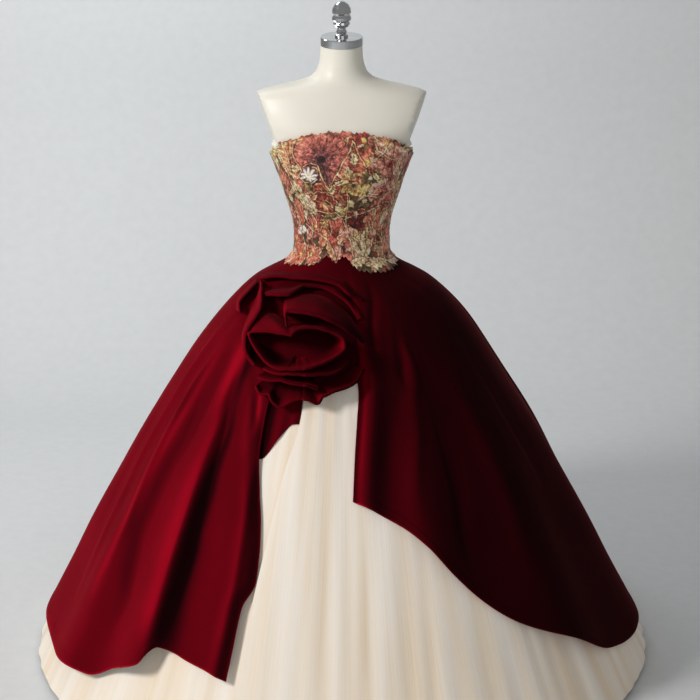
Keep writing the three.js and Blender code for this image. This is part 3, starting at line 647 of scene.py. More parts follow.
# A crease's line as (height, azimuth), then how far it rises (or sinks, below 0) at its fullest,
# and its width to each side in millimetres.
CREASES = [
    ([(940, 24.5), (932, 23.9), (900, 19), (865, 15.2), (830, 14)], -5, 6, 9),
    ([(925, 33), (842, 32), (783, 33.5), (704, 33.4), (645, 32.6), (586, 32), (528, 31.4),
        (471, 30.2)], -6, 12, 24),
    ([(900, 31), (839, 30), (768, 28.5), (712, 25), (656, 23.5), (600, 21), (540, 19)], 4, 22, 16),
    ([(887, 31), (823, 26), (770, 24)], -5, 9, 12),
    ([(840, 62), (808, 63.2), (753, 63.4), (683, 65), (617, 65.4), (540, 66)], -15, 14, 26),
    ([(960, 12.5), (900, 10.5), (860, 9.8), (800, 9.6), (750, 9.4), (700, 8.4), (620, 6.6),
        (560, 5.6)], 11, 10, 42),
    ([(760, 45), (640, 46), (520, 46), (400, 45)], 6, 26, 30),
    ([(850, -40.5), (793, -40.6), (763, -40.6), (715, -40.4), (639, -37.7), (579, -37.4), (520, -36.7),
        (460, -36.6), (395, -36), (321, -36), (251, -36.5)], -12, 14, 14),
    ([(820, -54), (700, -52.4), (618, -51.8), (550, -53.6), (484, -54), (419, -54), (354, -52.4),
        (284, -50)], -8, 24, 24),
    ([(830, -42), (790, -38), (730, -31), (675, -28)], -8, 10, 12),
    ([(860, -71), (740, -71.5), (600, -72), (420, -71), (300, -70)], 8, 20, 24),
    ([(800, -60), (700, -62), (560, -60.5), (400, -58)], 5, 12, 10),
    ([(716, -28.9), (660, -26.7), (604, -24.9), (548, -24.3), (491, -23.5), (428, -23), (358, -22.7),
        (292, -22.8), (200, -23.3)], 7, 20, 10),
    ([(960, -58), (930, -62), (890, -64), (840, -64)], -5, 9, 13),
    ([(950, 60), (900, 64), (850, 66)], -4, 10, 16),
]
rng = np.random.default_rng(5)
for azimuth in (104, 121, 128, 146, 153, 171, 179, 198, 205, 224, 231, 250, 258, 282):
    top, low = rng.uniform(820, 950), rng.uniform(150, 520)
    drift = rng.uniform(-2, 2)
    line = [(top, azimuth), ((top + low) / 2, azimuth + drift), (low, azimuth + drift * 1.6)]
    CREASES.append((line, rng.choice([-9, -6, 6, 8]), rng.uniform(12, 26), rng.uniform(12, 26)))
print("flutes:", len(FLUTES), "creases:", len(CREASES))

# %% [markdown]
# A flute or crease is a soft bump across its own line, with a width of its own to each side. The
# bumps are added up, and each fades in and out along its line.


# %% From tables to folds
def beside(line, azimuth, z):
    """Millimetres round the skirt from a line of (height, azimuth) points."""
    return np.radians(turn(curve_through(line)(z), azimuth)) * skirt_radius(azimuth, z)


def along_lines(rows, ends, azimuth, z):
    """What all the rows of a table add. The ends say how a line fades in and out."""
    total = np.zeros(np.broadcast(azimuth, z).shape)
    for line, amount, before, after in rows:
        full = ends(z, line[0][0], line[-1][0])
        total = total + amount * full * lopsided_bell(beside(line, azimuth, z), before, after)
    return total


def folds_lift(azimuth, z):
    """How far the flutes lift the velvet. It can't sink into the tulle."""
    down = eased(z, WAIST_Z, FLUTE_FULL_Z)
    total = np.zeros(np.broadcast(azimuth, z).shape)
    for top, hem, height, before, after, start in FLUTES:
        away = turn(top + (hem - top) * down, azimuth)
        total = total + height * eased(z, start, FLUTE_FULL_Z) * lopsided_bell(away, before, after)
    return total


def crease_ends(z, top, low):
    fade = (top - low) * 0.3
    return eased(z, top + fade * 0.25, top - fade) * eased(z, low - fade, low + fade * 0.6)


def shading_ends(z, top, low):
    return eased(z, top + 20, top - 40) * eased(z, low - 50, low + 50)


def velvet_lift(azimuth, z, folds):
    """The velvet's inner face, which stands off the tulle by a gap and its folds."""
    gap = 0.4 + 1.6 * eased(z, WAIST_Z - 20, 930)
    return gather_depth(z) + lap_lift(azimuth, z) + TULLE + gap + folds


def plain_velvet_lift(azimuth, z):
    """The same on the flutes alone, which the bodice and the rosette sit on."""
    return velvet_lift(azimuth, z, folds_lift(azimuth, z))


print("highest flute in front:", round(float(folds_lift(np.arange(-90, 90), HEM_Z).max())), "mm")

# %% [markdown]
# A third table paints light and shade onto the velvet along its folds: lighter on a crest and
# darker in a valley.

# %% Painted light and shade along the folds
# A line as above, how much it is painted lighter (or darker, below 0), and the width to each side in
# millimetres.
PAINTED_FOLD_SHADING = [
    ([(830, -43.2), (790, -43), (740, -41.4), (650, -38.5), (589, -39.1), (528, -39.6), (469, -39.2),
        (403, -39), (331, -38.2), (240, -38)], 0.27, 34, 9),
    ([(850, -40.2), (793, -40.2), (763, -40.3), (740, -40.6), (715, -40.2), (639, -37.4), (579, -37.2),
        (520, -36.4), (460, -36.4), (395, -35.7), (321, -35.8), (230, -36.3)], -0.42, 12, 15),
    ([(800, -59.4), (692, -57.8), (603, -59), (471, -59.2), (403, -59.9), (332, -59.3),
        (250, -59.9)], 0.14, 14, 16),
    ([(802, -54.1), (700, -52.4), (618, -51.2), (550, -53.7), (484, -54), (419, -54.3), (354, -52.4),
        (260, -50)], -0.08, 26, 26),
    ([(700, -62), (586, -65.2), (509, -64.6), (444, -67.3), (384, -64.8), (315, -67.8)], -0.05, 22, 22),
    ([(740, -30), (660, -26.7), (604, -24.9), (548, -24.3), (491, -23.5), (428, -23), (358, -22.7),
        (250, -22.8)], 0.16, 10, 8),
    ([(880, -47.6), (852, -47), (813, -46.1), (700, -45)], 0.12, 16, 12),
    ([(930, 24), (800, 24), (700, 24), (600, 22), (520, 20), (400, 18)], 0.09, 76, 44),
    ([(830, 32), (768, 28.5), (712, 25), (656, 23.5), (600, 21), (540, 20)], 0.06, 14, 12),
    ([(820, 25), (770, 21.5), (718, 17.8), (662, 13.5), (600, 11)], -0.07, 16, 14),
    ([(910, 6), (868, 6.5), (820, 6), (780, 5), (730, 4)], -0.3, 26, 8),
    ([(925, 33), (842, 32.5), (783, 34), (704, 33.8), (645, 33), (586, 32.2), (528, 31.6),
        (471, 30.4)], -0.05, 8, 8),
]
print("rubbed or laid:", len(PAINTED_FOLD_SHADING))

# %% [markdown]
# Each panel runs between two edges whose azimuth changes with height. Its open front edges turn in
# towards the tulle, which catches the light along them, and a painted highlight runs along them and
# along the hem. The hem is turned up once and sewn, so the lowest 22 mm are a little fuller than the rest.

# %% The four velvet panels
# Hems are (azimuth, height) and open edges are (height, azimuth).
hem_left = curve_through(
    [(3, 540), (9, 515), (15, 484), (20, 441), (25, 381), (31.5, 315), (38.5, 257)]
    + [(50, 186), (62.5, 114), (78, 78), (180, 62)]
)
hem_right = curve_through(
    [(180, 62), (285, 75), (307, 98), (314, 138), (320, 162), (321.5, 172), (323.5, 214)]
    + [(329, 203), (334, 195), (340, 178)]
)
edge_left = curve_through(
    [(540, 3), (620, 3.9), (697, 5.2), (750, 6.2), (800, 4.6), (870, -6), (915, -15), (940, -20), (1003, -20)]
)
edge_right = curve_through(
    [(164, 338.7), (193, 338.8), (258, 339.1), (322, 339.4), (376, 341.3), (427, 341), (489, 340)]
    + [(546, 338.2), (616, 335.9), (690, 334.8), (720, 334.8), (800, 340), (1003, 340)]
)
HEM_DEPTH, HEM_FULLNESS = 22.0, 0.9
# A painted highlight makes the pile this much lighter along hems and open edges.
EDGE_HIGHLIGHT = 0.3
DOME_ROWS = 39
VELVET_GRAIN = 0.6, 1.2
# Name, edges, hem, and how many columns and rows.
PANELS = [
    ("velvet_front_left", edge_left, 76.0, hem_left, 150, 150),
    ("velvet_back_left", 76.0, 180.0, hem_left, 130, 110),
    ("velvet_back_right", 180.0, 284.0, hem_right, 130, 110),
    ("velvet_front_right", 284.0, edge_right, hem_right, 150, 160),
]


def edge_at(edge, z):
    return edge(z) if callable(edge) else np.full(np.shape(z), float(edge))


for name, start, end, hem, columns, rows in PANELS:
    s = np.linspace(0, 1, columns + 1)
    first, last = edge_at(start, 0.0), edge_at(end, 0.0)
    lowest = hem(first + (last - first) * s)
    dome = np.repeat(np.linspace(WAIST_Z, DOME_Z, DOME_ROWS + 1)[:-1, None], columns + 1, axis=1)
    t = np.linspace(0, 1, rows - DOME_ROWS)[:, None]
    z = np.concatenate([dome, DOME_Z + (lowest - DOME_Z) * t])
    seam = seam_angle(skirt_radius(76, z))
    low, high = edge_at(start, z) + seam, edge_at(end, z) - seam
    around = low + (high - low) * s
    folds = folds_lift(around, z) + along_lines(CREASES, crease_ends, around, z)
    above_hem = z - lowest
    # A painted highlight along the hem.
    edges = EDGE_HIGHLIGHT * eased(above_hem, 5, 1)
    if callable(start):
        inside = np.radians(around - low) * skirt_radius(around, z)
        open_part = eased(z, 870, 780)
        # The tall open edge swells and then turns in.
        folds = folds + open_part * (5 * bell(inside, 34, 22) - 12 * bell(inside, 0, 20))
    if callable(end):
        inside = np.radians(high - around) * skirt_radius(around, z)
        open_part = eased(z, 720, 640)
        folds = folds + open_part * (2 * bell(inside, 24, 14) - 6 * bell(inside, 0, 13))
        # It passes over the tail below the rosette.
        folds = folds + 6 * eased(z, 590, 630) * eased(z, 800, 740) * eased(inside, 60, 20)
    # The open edges get the same painted highlight.
    if callable(start) or callable(end):
        edges = np.maximum(edges, EDGE_HIGHLIGHT * open_part * eased(inside, 4, 1))
    # Hollows level out towards the tulle, which they would otherwise cut.
    folds = np.where(folds > 3, folds, 3 * np.exp((folds - 3) / 3))
    turned_up = HEM_FULLNESS * eased(above_hem, HEM_DEPTH + 2, HEM_DEPTH - 2) * eased(above_hem, -1, 4)
    points = skirt_point(around, z, velvet_lift(around, z, folds) + turned_up + VELVET)
    piece = make_sheet(name + "_cloth", points, skirt_uv(around, z, *VELVET_GRAIN), VELVET, velvet)
    add_attribute(piece, "painted_shading", along_lines(PAINTED_FOLD_SHADING, shading_ends, around, z) + edges)
    declare(piece, points, name)

# %% [markdown]
# A short tail of the velvet hangs below the rosette, over the overskirt's seam. It is a single
# layer that is cut on the slant, and it follows the hollows of the tulle.

# %% The tail
TAIL_START, TAIL_WIDTH, TAIL_TOP = -27, 13.4, 742
TAIL_STEPS, TAIL_CLOTH, TAIL_GAP = 40, 1.0, 1.6
tail_edge = curve_through([(-27, 606), (-23.8, 610), (-19.4, 654), (-15.8, 682), (-13.6, 684)])
s, t = np.meshgrid(np.linspace(0, 1, TAIL_STEPS + 1), np.linspace(0, 1, TAIL_STEPS + 1))
around = TAIL_START + TAIL_WIDTH * s
z = TAIL_TOP + (tail_edge(around) - TAIL_TOP) * t
wave = 2.4 * bell(around, -19.6, 1.6) + 3.0 * bell(around, -15.2, 1.3)
lift = gather_depth(z) + lap_lift(around, z) + TULLE + TAIL_GAP + wave * eased(z, TAIL_TOP, 660)
points = skirt_point(around, z, lift)
tail = make_sheet("velvet_tail_cloth", points, skirt_uv(around, z, *VELVET_GRAIN), TAIL_CLOTH, velvet)
# Painted light and shade: the tail is a little lighter, with a painted shadow near azimuth -24 where the
# front panel's edge overhangs it.
add_attribute(tail, "painted_shading", 0.06 - 0.55 * bell(around, -24.2, 1.7))
declare(tail, points, "velvet_tail")

# %% [markdown]
# ## The rosette
# The rosette is made of strips of velvet folded double and rolled round a heart. Each petal is a
# sheet that rises from its root on the velvet round and turns over at the rim, where the fold is
# fat and soft. The rim's line is a short table of its own for each petal.

# %% The rosette's own frame
ROSE_AZIMUTH, ROSE_Z, ROSE_FACES_UP = -19.7, 826.0, math.radians(17.6)
rose_up = np.array([0, math.sin(ROSE_FACES_UP), math.cos(ROSE_FACES_UP)])
rose_out = np.array([0, -math.cos(ROSE_FACES_UP), math.sin(ROSE_FACES_UP)])
rose_centre = skirt_base(np.array(ROSE_AZIMUTH), np.array(ROSE_Z))


def rose_flat(radius, angle):
    """Millimetres to the wearer's left of the rosette's centre and above it."""
    return radius * np.cos(np.radians(angle)), radius * np.sin(np.radians(angle))


def rose_seat(a, b, gap):
    """The point straight behind (a, b) that stands off the velvet's face by a gap."""
    start = rose_centre + b[..., None] * rose_up
    start[..., 0] += a
    inner, outer = np.full(a.shape, -260.0), np.full(a.shape, 200.0)
    # Each round halves the doubt, so 22 bring it down to a ten-thousandth of a millimetre.
    for _ in range(22):
        middle = (inner + outer) / 2
        p = start + middle[..., None] * rose_out
        azimuth = np.degrees(np.arctan2(p[..., 0], -p[..., 1]))
        normal = skirt_normal(azimuth, p[..., 2])
        lift = plain_velvet_lift(azimuth, p[..., 2]) + VELVET + gap
        face = skirt_radius(azimuth, p[..., 2]) + lift / np.hypot(normal[..., 0], normal[..., 1])
        outside = np.hypot(p[..., 0], p[..., 1]) - face
        outer = np.where(outside > 0, middle, outer)
        inner = np.where(outside > 0, inner, middle)
    return start + outer[..., None] * rose_out


print("rosette centre:", rose_centre.round(1))

# %% The velvet round under the petals
GROUND, GROUND_OFF_VELVET = 1.5, 3.7
ground_outline = curve_through(
    [(0, 138), (25, 146), (90, 158), (140, 140), (180, 100), (215, 90), (240, 88), (270, 86)]
    + [(301, 97), (319, 108), (333, 124), (346, 138), (360, 138)]
)
angle, t = np.meshgrid(np.linspace(360, 0, 73)[:-1], np.linspace(0, 1, 16))
a, b = rose_flat(ground_outline(angle) + (1 - ground_outline(angle)) * t, angle)
points = rose_seat(a, b, np.full(angle.shape, GROUND_OFF_VELVET))
uv = np.stack([a, b], axis=-1) / 1000
ground = make_sheet("rose_ground_cloth", points, uv, GROUND, velvet, closed=True)
# The round is painted a little darker: painted shade between the petals.
add_attribute(ground, "painted_shading", np.full(angle.shape, -0.1))
loop = np.concatenate([points, points[:, :1]], axis=1)
declare(ground, loop, "rose_ground", cut=(0.3, 0.27))

# %% The petals' rims
# How far a petal's root stands off the velvet, whether the petal closes to a ring, and then its rows:
# angle round the rosette, radius and height of the rim, and radius of the root.
PETALS = {
    "rose_heart": (5.1, True, [(0, 103, 88, 72), (12, 102, 92, 86), (30, 74, 98, 78), (54, 54, 100, 60),
        (77, 44, 100, 50),
        (113, 29, 100, 66), (130, 40, 99, 112), (142, 52, 97, 124), (152, 78, 92, 128),
        (162, 112, 84, 118), (175, 94, 87, 76),
        (188, 80, 90, 44), (221, 60, 96, 28), (237, 50, 99, 25), (249, 44, 100, 15), (261, 43, 101, 24),
        (276, 41, 102, 20),
        (302, 46, 102, 20), (321, 54, 100, 26), (338, 69, 96, 40), (350, 86, 91, 56)]),
    "rose_inner_upper": (4.5, False, [(5, 143, 14, 151), (20, 115, 66, 140), (40, 92, 86, 134),
        (66, 80, 90, 130), (90, 78, 90, 124),
        (107, 84, 88, 116), (114, 48, 92, 84)]),
    "rose_inner_lower": (5.2, False, [(208, 84, 74, 52), (224, 71, 84, 42), (250, 54, 92, 34),
        (275, 52, 91, 33), (296, 60, 88, 36),
        (314, 72, 84, 42), (334, 104, 76, 64), (347, 116, 18, 82)]),
    "rose_middle_upper": (5.0, False, [(24, 150, 8, 155), (44, 149, 12, 154), (68, 147, 16, 153),
        (86, 138, 26, 149), (94, 124, 56, 142),
        (99, 119, 66, 140), (110, 125, 66, 146), (122, 141, 60, 154)]),
    "rose_middle_lower": (5.5, False, [(214, 106, 52, 72), (223, 95, 60, 62), (242, 73, 68, 50),
        (269, 74, 66, 50), (288, 80, 62, 56),
        (299, 98, 48, 70)]),
    "rose_side": (1.8, False, [(120, 176, 40, 186), (123, 152, 60, 170), (128, 131, 68, 158),
        (134, 118, 74, 148), (145, 114, 78, 140),
        (156, 116, 79, 136), (165, 117, 80, 134), (184, 112, 76, 124), (202, 97, 67, 103)]),
    "rose_outer_upper": (2.1, False, [(37, 178, 10, 186), (47, 164, 26, 180), (57, 168, 30, 184),
        (72, 160, 28, 176), (84, 158, 27, 174),
        (95, 159, 25, 175), (104, 168, 30, 184), (113, 177, 34, 193), (120, 184, 28, 198)]),
    "rose_outer_lower": (7.0, False, [(221, 120, 24, 88), (230, 127, 30, 86), (238, 113, 36, 82),
        (245, 126, 32, 86),
        (253, 131, 28, 86), (263, 113, 36, 78), (273, 105, 38, 76), (283, 111, 36, 80),
        (291, 126, 30, 88), (298, 115, 34, 86),
        (312, 120, 38, 92), (331, 146, 34, 112), (344, 150, 12, 122)]),
    "rose_outer_side": (1.4, False, [(122, 178, 34, 194), (131, 173, 42, 191), (142, 171, 46, 188),
        (149, 152, 44, 172)]),
}
print("petals:", ", ".join(PETALS))

# %% [markdown]
# Between the rows of its table a petal's rim is drawn in small steps and softened. From the rim it
# curves down to its root, and above the rim the velvet rolls over to the outside.

# %% A petal's points
PETAL = 1.6
PETAL_STEPS = 8
PETAL_ROWS = 14
# Radius of the turned-over rim, the steps round it, and how far its end hangs down outside.
ROLL, ROLL_STEPS = 1.9, 7
ROLL_ENDS = (3.0, 6.5)


def petal_grid(rows, seat, closed):
    """Points of a petal from its turned-over rim down to its root, and on round it."""
    table = np.array(rows + ([(rows[0][0] + 360,) + rows[0][1:]] if closed else []), float)
    count = (len(table) - 1) * PETAL_STEPS
    along = np.linspace(0, len(table) - 1, count + 1)
    if closed:
        along = along[:-1]
    mixed = np.stack([np.interp(along, np.arange(len(table)), table[:, k]) for k in range(4)], axis=-1)
    # The corners between rows are soft folds: three passes of averaging round them off.
    for _ in range(3):
        before, after = np.roll(mixed, 1, axis=0), np.roll(mixed, -1, axis=0)
        if closed:
            before[0, 0] -= 360
            after[-1, 0] += 360
        else:
            before[0], after[-1] = mixed[0], mixed[-1]
        mixed = (before + 2 * mixed + after) / 4
    angle, rim, height, root = (mixed[None, :, k] for k in range(4))
    t = np.linspace(0, 1, PETAL_ROWS + 1)[:, None]
    rise = (1 - t) * (math.pi / 2)
    leans_in = rim < root
    radius = root + (rim - root) * np.where(leans_in, 1 - np.cos(rise), np.sin(rise))
    share = np.where(leans_in, np.sin(rise), 1 - np.cos(rise))
    a, b = rose_flat(radius, angle)
    foot = rose_seat(a, b, np.full(a.shape, seat))
    # The velvet puckers softly between the stitches that hold its root.
    pucker = 1.5 * np.sin(np.radians(angle * 11 + root)) * (1 - t) * t * 4
    return foot + (height * share + pucker)[..., None] * rose_out, t + 0 * angle


def with_rolled_rim(grid, closed):
    """Adds the turned-over rim above a petal's first row, on the side away from the rosette's heart."""
    rim, below = grid[0], grid[1]
    up = unit(rim - below)
    along = np.roll(rim, -1, axis=0) - np.roll(rim, 1, axis=0) if closed else np.gradient(rim, axis=0)
    out = unit(np.cross(up, along))
    away = rim - (rose_centre + 60 * rose_out)
    out = out * np.sign((out * away).sum(-1).mean())
    turned = []
    for step in range(1, ROLL_STEPS + 1):
        a = math.pi * step / ROLL_STEPS
        turned.append(rim + up * (ROLL * math.sin(a)) + out * (ROLL * (1 - math.cos(a))))
    for back in ROLL_ENDS:
        turned.append(rim + out * (2 * ROLL - 0.1 * back) - up * back)
    return np.concatenate([np.array(turned[::-1]), grid])


print("rows of points in a petal:", ROLL_STEPS + len(ROLL_ENDS) + PETAL_ROWS + 1)

# %% The petals in velvet
for name, (seat, closed, rows) in PETALS.items():
    grid, down = petal_grid(rows, seat, closed)
    points = with_rolled_rim(grid, closed)
    uv = np.stack(np.meshgrid(np.arange(points.shape[1]), np.arange(points.shape[0])), axis=-1) * 0.006
    petal = make_sheet(name + "_cloth", points, uv, PETAL, velvet, closed=closed, crease=65, even=False)
    # Painted shade: the velvet is painted darker near the roots and a little lighter near the rims.
    root_shading = 0.1 - 0.22 * eased(down, 0.12, 0.85)
    if name == "rose_heart":
        # Inside, the heart is painted lighter to the right of a deep groove, and the groove is painted dark.
        round_heart = np.linspace(0, 360, points.shape[1])
        root_shading += 0.14 * eased(round_heart, 240, 250) * eased(round_heart, 345, 300)
        root_shading -= 0.6 * bell(round_heart, 238, 6) * eased(down, 0.05, 0.2)
    rim = np.zeros((ROLL_STEPS + len(ROLL_ENDS), points.shape[1]))
    add_attribute(petal, "painted_shading", np.concatenate([rim, root_shading]))
    whole = np.concatenate([points, points[:, :1]], axis=1) if closed else points
    declare(petal, whole, name)

# %% [markdown]
# ## The dress form
# The form is a moulded shell. Its sections are lofted from neck to hip, and the arms end in two
# flat plates. A subdivided box could be pushed into this shape too, but sections keep the waist
# and bust where the bodice needs them.

# %% The form's shell
# Height, half width, depth in front, depth behind, and how square the section is.
FORM_SECTIONS = [
    (1461, 47, 47, 47, 2), (1430, 49, 49, 49, 2), (1404, 57, 52, 54, 2), (1388, 74, 56, 60, 2),
    (1377, 108, 60, 65, 2),
    (1368, 150, 64, 70, 2), (1357, 187, 68, 75, 2.1), (1343, 205, 73, 80, 2.2),
    (1318, 210, 82, 87, 2.3), (1290, 202, 92, 91, 2.3),
    (1262, 183, 101, 93, 2.2), (1232, 158, 111, 93, 2.2), (1202, 144, 119, 91, 2.2),
    (1172, 138, 121, 88, 2.2),
    (1142, 133, 113, 86, 2.15), (1112, 124, 102, 84, 2.1), (1082, 114.5, 92, 82, 2),
    (1052, 108, 85.5, 81, 2), (1022, 105, 83, 81, 2),
    (1003, 102.9, 82, 82, 2), (984, 103.2, 82.5, 82.5, 2), (955, 114, 88, 96, 2),
    (915, 134, 96, 112, 2.1), (860, 150, 102, 124, 2.1),
    (800, 154, 102, 122, 2.1), (740, 148, 96, 108, 2), (720, 144, 93, 103, 2),
]
form_width, form_front, form_back, form_square = (
    curve_through([(row[0], row[k]) for row in FORM_SECTIONS]) for k in range(1, 5)
)


# Each arm ends in a flat plate that leans in towards its foot and towards the front.
PLATE_X, PLATE_Z, PLATE_FOOT_Z = 193, 1357, 1240
PLATE_LEANS, PLATE_TURNS = 0.34, 0.16


def form_point(azimuth, z, lift=0.0):
    a = np.radians(azimuth)
    x, y = np.sin(a), -np.cos(a)
    depth = np.where(y < 0, form_front(z), form_back(z))
    power = form_square(z)
    reach = ((np.abs(x) / form_width(z)) ** power + (np.abs(y) / depth) ** power) ** (-1 / power)
    point = on_circle(azimuth, reach + lift, z)
    plate = PLATE_X - (PLATE_Z - z) * PLATE_LEANS + point[..., 1] * PLATE_TURNS
    plated = np.clip(point[..., 0], -plate, plate)
    point[..., 0] = np.where(z > PLATE_FOOT_Z, plated, point[..., 0])
    return point


FORM_COLUMNS = 144
NECK_SLOPE = math.radians(6)
heights = np.concatenate([np.linspace(1461, 1340, 46)[:-1], np.linspace(1340, 720, 90)])
azimuth, z = np.meshgrid(np.arange(FORM_COLUMNS) * (360 / FORM_COLUMNS), heights)
shell_points = form_point(azimuth, z)
# The neck is cut at a slope, low in front.
shell_points[..., 2] += shell_points[..., 1] * math.tan(NECK_SLOPE) * eased(heights, 1430, 1461)[:, None]
ring = np.arange(FORM_COLUMNS)
ends = [ring.tolist(), (ring[::-1] + (len(heights) - 1) * FORM_COLUMNS).tolist()]
sides = grid_faces(len(heights), FORM_COLUMNS, closed=True).tolist()
form_shell = add_mesh("form_shell", shell_points, sides + ends, shell_look)
only(form_shell)
bpy.ops.object.mode_set(mode="EDIT")
bpy.ops.mesh.select_all(action="SELECT")
bpy.ops.mesh.normals_make_consistent(inside=False)
bpy.ops.object.mode_set(mode="OBJECT")
smooth(form_shell, 40)
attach(form_shell, "root")
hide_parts("form_torso")
print("form faces:", len(form_shell.data.polygons))

# %% [markdown]
# The cap, the finial and the stand keep their solids, which are already the right shapes, and
# only get the chrome.

# %% Chrome on the turned pieces
CHROMED = ("neck_cap", "neck_finial", "stand_base", "stand_pole")
for name in CHROMED:
    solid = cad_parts[name]
    solid.data.materials.clear()
    solid.data.materials.append(chrome_look)
print("chromed:", *CHROMED)

# %% [markdown]
# ## The brocade bodice
# The cloth is one allover pattern of large flowers and leaves, crowded edge to edge, each with a
# raised cord round it. The flowers are drawn as formulas: a petal's edge is a wave round its
# centre. Each entry of the table places one flower or leaf, so the pattern is listed one by one
# in front and scattered by a seeded draw behind. Small sprigs fill the gaps all round, and a soft
# noise lets every outline wander as hand-guided work does.


# %% Where the bodice lies
# Millimetres of air under the bodice, and how far its boned top stands off at the sides.
OFF_FORM, OFF_VELVET, SIDES_STAND_OFF = 2.5, 1.7, 11
# Height of the top edge by azimuth to either side of the front, then of the lower edge all round.
top_edge = curve_through(
    [(0, 1281), (25, 1278), (45, 1268), (62, 1248), (78, 1222), (92, 1206), (120, 1192), (150, 1186)]
    + [(180, 1184)]
)
low_edge = curve_through(
    [(-180, 962), (-160, 952), (-142, 966), (-120, 953), (-100, 966), (-78, 955), (-52, 962), (-33, 969)]
    + [(-24, 990), (-17, 987), (-9, 973), (0, 989), (7, 988), (16, 965), (30, 953), (52, 950), (78, 957)]
    + [(100, 966), (120, 953), (142, 966), (160, 952), (180, 962)]
)


def waves(degrees, rows):
    """Waves added up, one for each row of height, number round the gown and phase."""
    return sum(size * np.sin(np.radians(degrees * count + phase)) for size, count, phase in rows)


def bodice_grid(start, end, columns, rows):
    """Azimuth and height of a panel's points, and the height of its ragged top edge."""
    seam = seam_angle(WAIST_HALF_WIDTH)
    s, t = np.meshgrid(np.linspace(0, 1, columns + 1), np.linspace(0, 1, rows + 1))
    azimuth = start + seam + (end - start - 2 * seam) * s
    signed = turn(0, azimuth)
    top = top_edge(np.abs(signed)) + waves(signed, [(1.8, 17, 0), (1.5, 41, 30), (1.2, 83, 0)])
    low = low_edge(signed) + waves(signed, [(1.6, 29, 0), (2.0, 63, 50)])
    return azimuth, top + (low - top) * t, top


def bodice_surface(azimuth, z, top, extra):
    """The form above the waist and the velvet below it, with the ease that the boning gives."""
    side = np.abs(np.sin(np.radians(azimuth))) ** 2
    stand_off = SIDES_STAND_OFF * side * eased(z, top - 75, top)
    on_form = form_point(azimuth, np.maximum(z, WAIST_Z), OFF_FORM + stand_off + extra)
    on_form[..., 2] = z
    lift = plain_velvet_lift(azimuth, z) + VELVET + OFF_VELVET + extra
    over = skirt_point(azimuth, np.minimum(z, WAIST_Z), lift)
    over[..., 2] += np.maximum(0, z - WAIST_Z)
    share = eased(z, WAIST_Z + 6, WAIST_Z + 45)[..., None]
    return over + (on_form - over) * share


# The pattern is laid out by the girth at one height, halfway up the bodice.
GIRTH_Z = 1120.0
around_form = np.linspace(-180, 180, 721)
ring_points = form_point(around_form, np.full(around_form.shape, GIRTH_Z))
steps = np.linalg.norm(np.diff(ring_points, axis=0), axis=-1)
ring_length = np.concatenate([[0], np.cumsum(steps)])
ring_length -= ring_length[len(steps) // 2]


def arc(azimuth):
    """Millimetres round the bodice from the centre front, to the wearer's left."""
    return np.interp(turn(0, azimuth), around_form, ring_length)


print("bodice girth:", round(float(ring_length[-1] - ring_length[0])), "mm")

# %% [markdown]
# A motif is a shape in its own small frame. For each point of the cloth the functions below say how
# far inside the motif's edge it lies, how far out from the centre, and how near it is to a vein.


# %% Shapes of flowers and leaves
def lobed_flower(x, y, size, petals):
    """Round overlapping petals, as on a dog rose or a poppy."""
    r, a = np.hypot(x, y), np.arctan2(y, x)
    lobes = np.abs(np.cos(petals * a / 2))
    edge = size * (0.66 + 0.34 * lobes**0.55)
    vein = bell(lobes * size, 0, 3) * eased(r, 0.15 * size, 0.5 * size)
    strands = 0.55 * (0.5 + 0.5 * np.cos(a * petals * 5)) ** 3 * eased(r, 0.3 * size, 0.8 * size)
    return edge - r, r / size, np.maximum(vein, strands)


def rayed_flower(x, y, size, petals):
    """Rings of narrow petals, as on a chrysanthemum."""
    r, a = np.hypot(x, y), np.arctan2(y, x)
    ring = np.floor(np.clip(r / size * 3.2, 0, 2.999))
    lobes = np.abs(np.cos(petals * a / 2 + ring * 0.8))
    edge = size * (0.84 + 0.16 * lobes**0.5)
    vein = bell(lobes * np.maximum(r, 2) * math.pi / petals, 0, 0.9)
    ring_line = bell((r / size * 3.2) % 1, 0.04 + 0.25 * (1 - lobes), 0.07)
    return edge - r, r / size, np.maximum(vein, 0.7 * ring_line)


def star_flower(x, y, size, petals):
    """Slender petals that stand apart, as on a daisy."""
    r, a = np.hypot(x, y), np.arctan2(y, x)
    lobes = np.abs(np.cos(petals * a / 2))
    edge = size * (0.24 + 0.76 * lobes**1.1)
    return edge - r, r / size, 0.4 * bell(lobes, 1, 0.1)


def long_leaf(x, y, size, ribs):
    """A pointed leaf with a midrib and side ribs."""
    u = np.clip(x / size, -1, 1)
    half = size * 0.36 * (1 - u * u) * (1 + 0.35 * u) + 0.06 * size * np.sin(u * 14)
    inside = np.where(np.abs(x) < size, half - np.abs(y), -9.0)
    rib = bell(y, 0, 0.8)
    side_ribs = 0.6 * (0.5 + 0.5 * np.cos((x - np.abs(y) * 0.9) * ribs * math.pi / size)) ** 6
    return inside, 0.5 + 0.5 * np.abs(y) / np.maximum(half, 1), np.maximum(rib, side_ribs)


SHAPES = {"rose": lobed_flower, "mum": rayed_flower, "daisy": star_flower, "leaf": long_leaf}
print("shapes:", ", ".join(SHAPES))

# %% [markdown]
# The table gives each motif's shape, azimuth and height, size in millimetres, petals, turn, and its
# colours at the edge and near the heart. The centre is gold where no third colour says otherwise.
# Later rows lie on earlier ones.

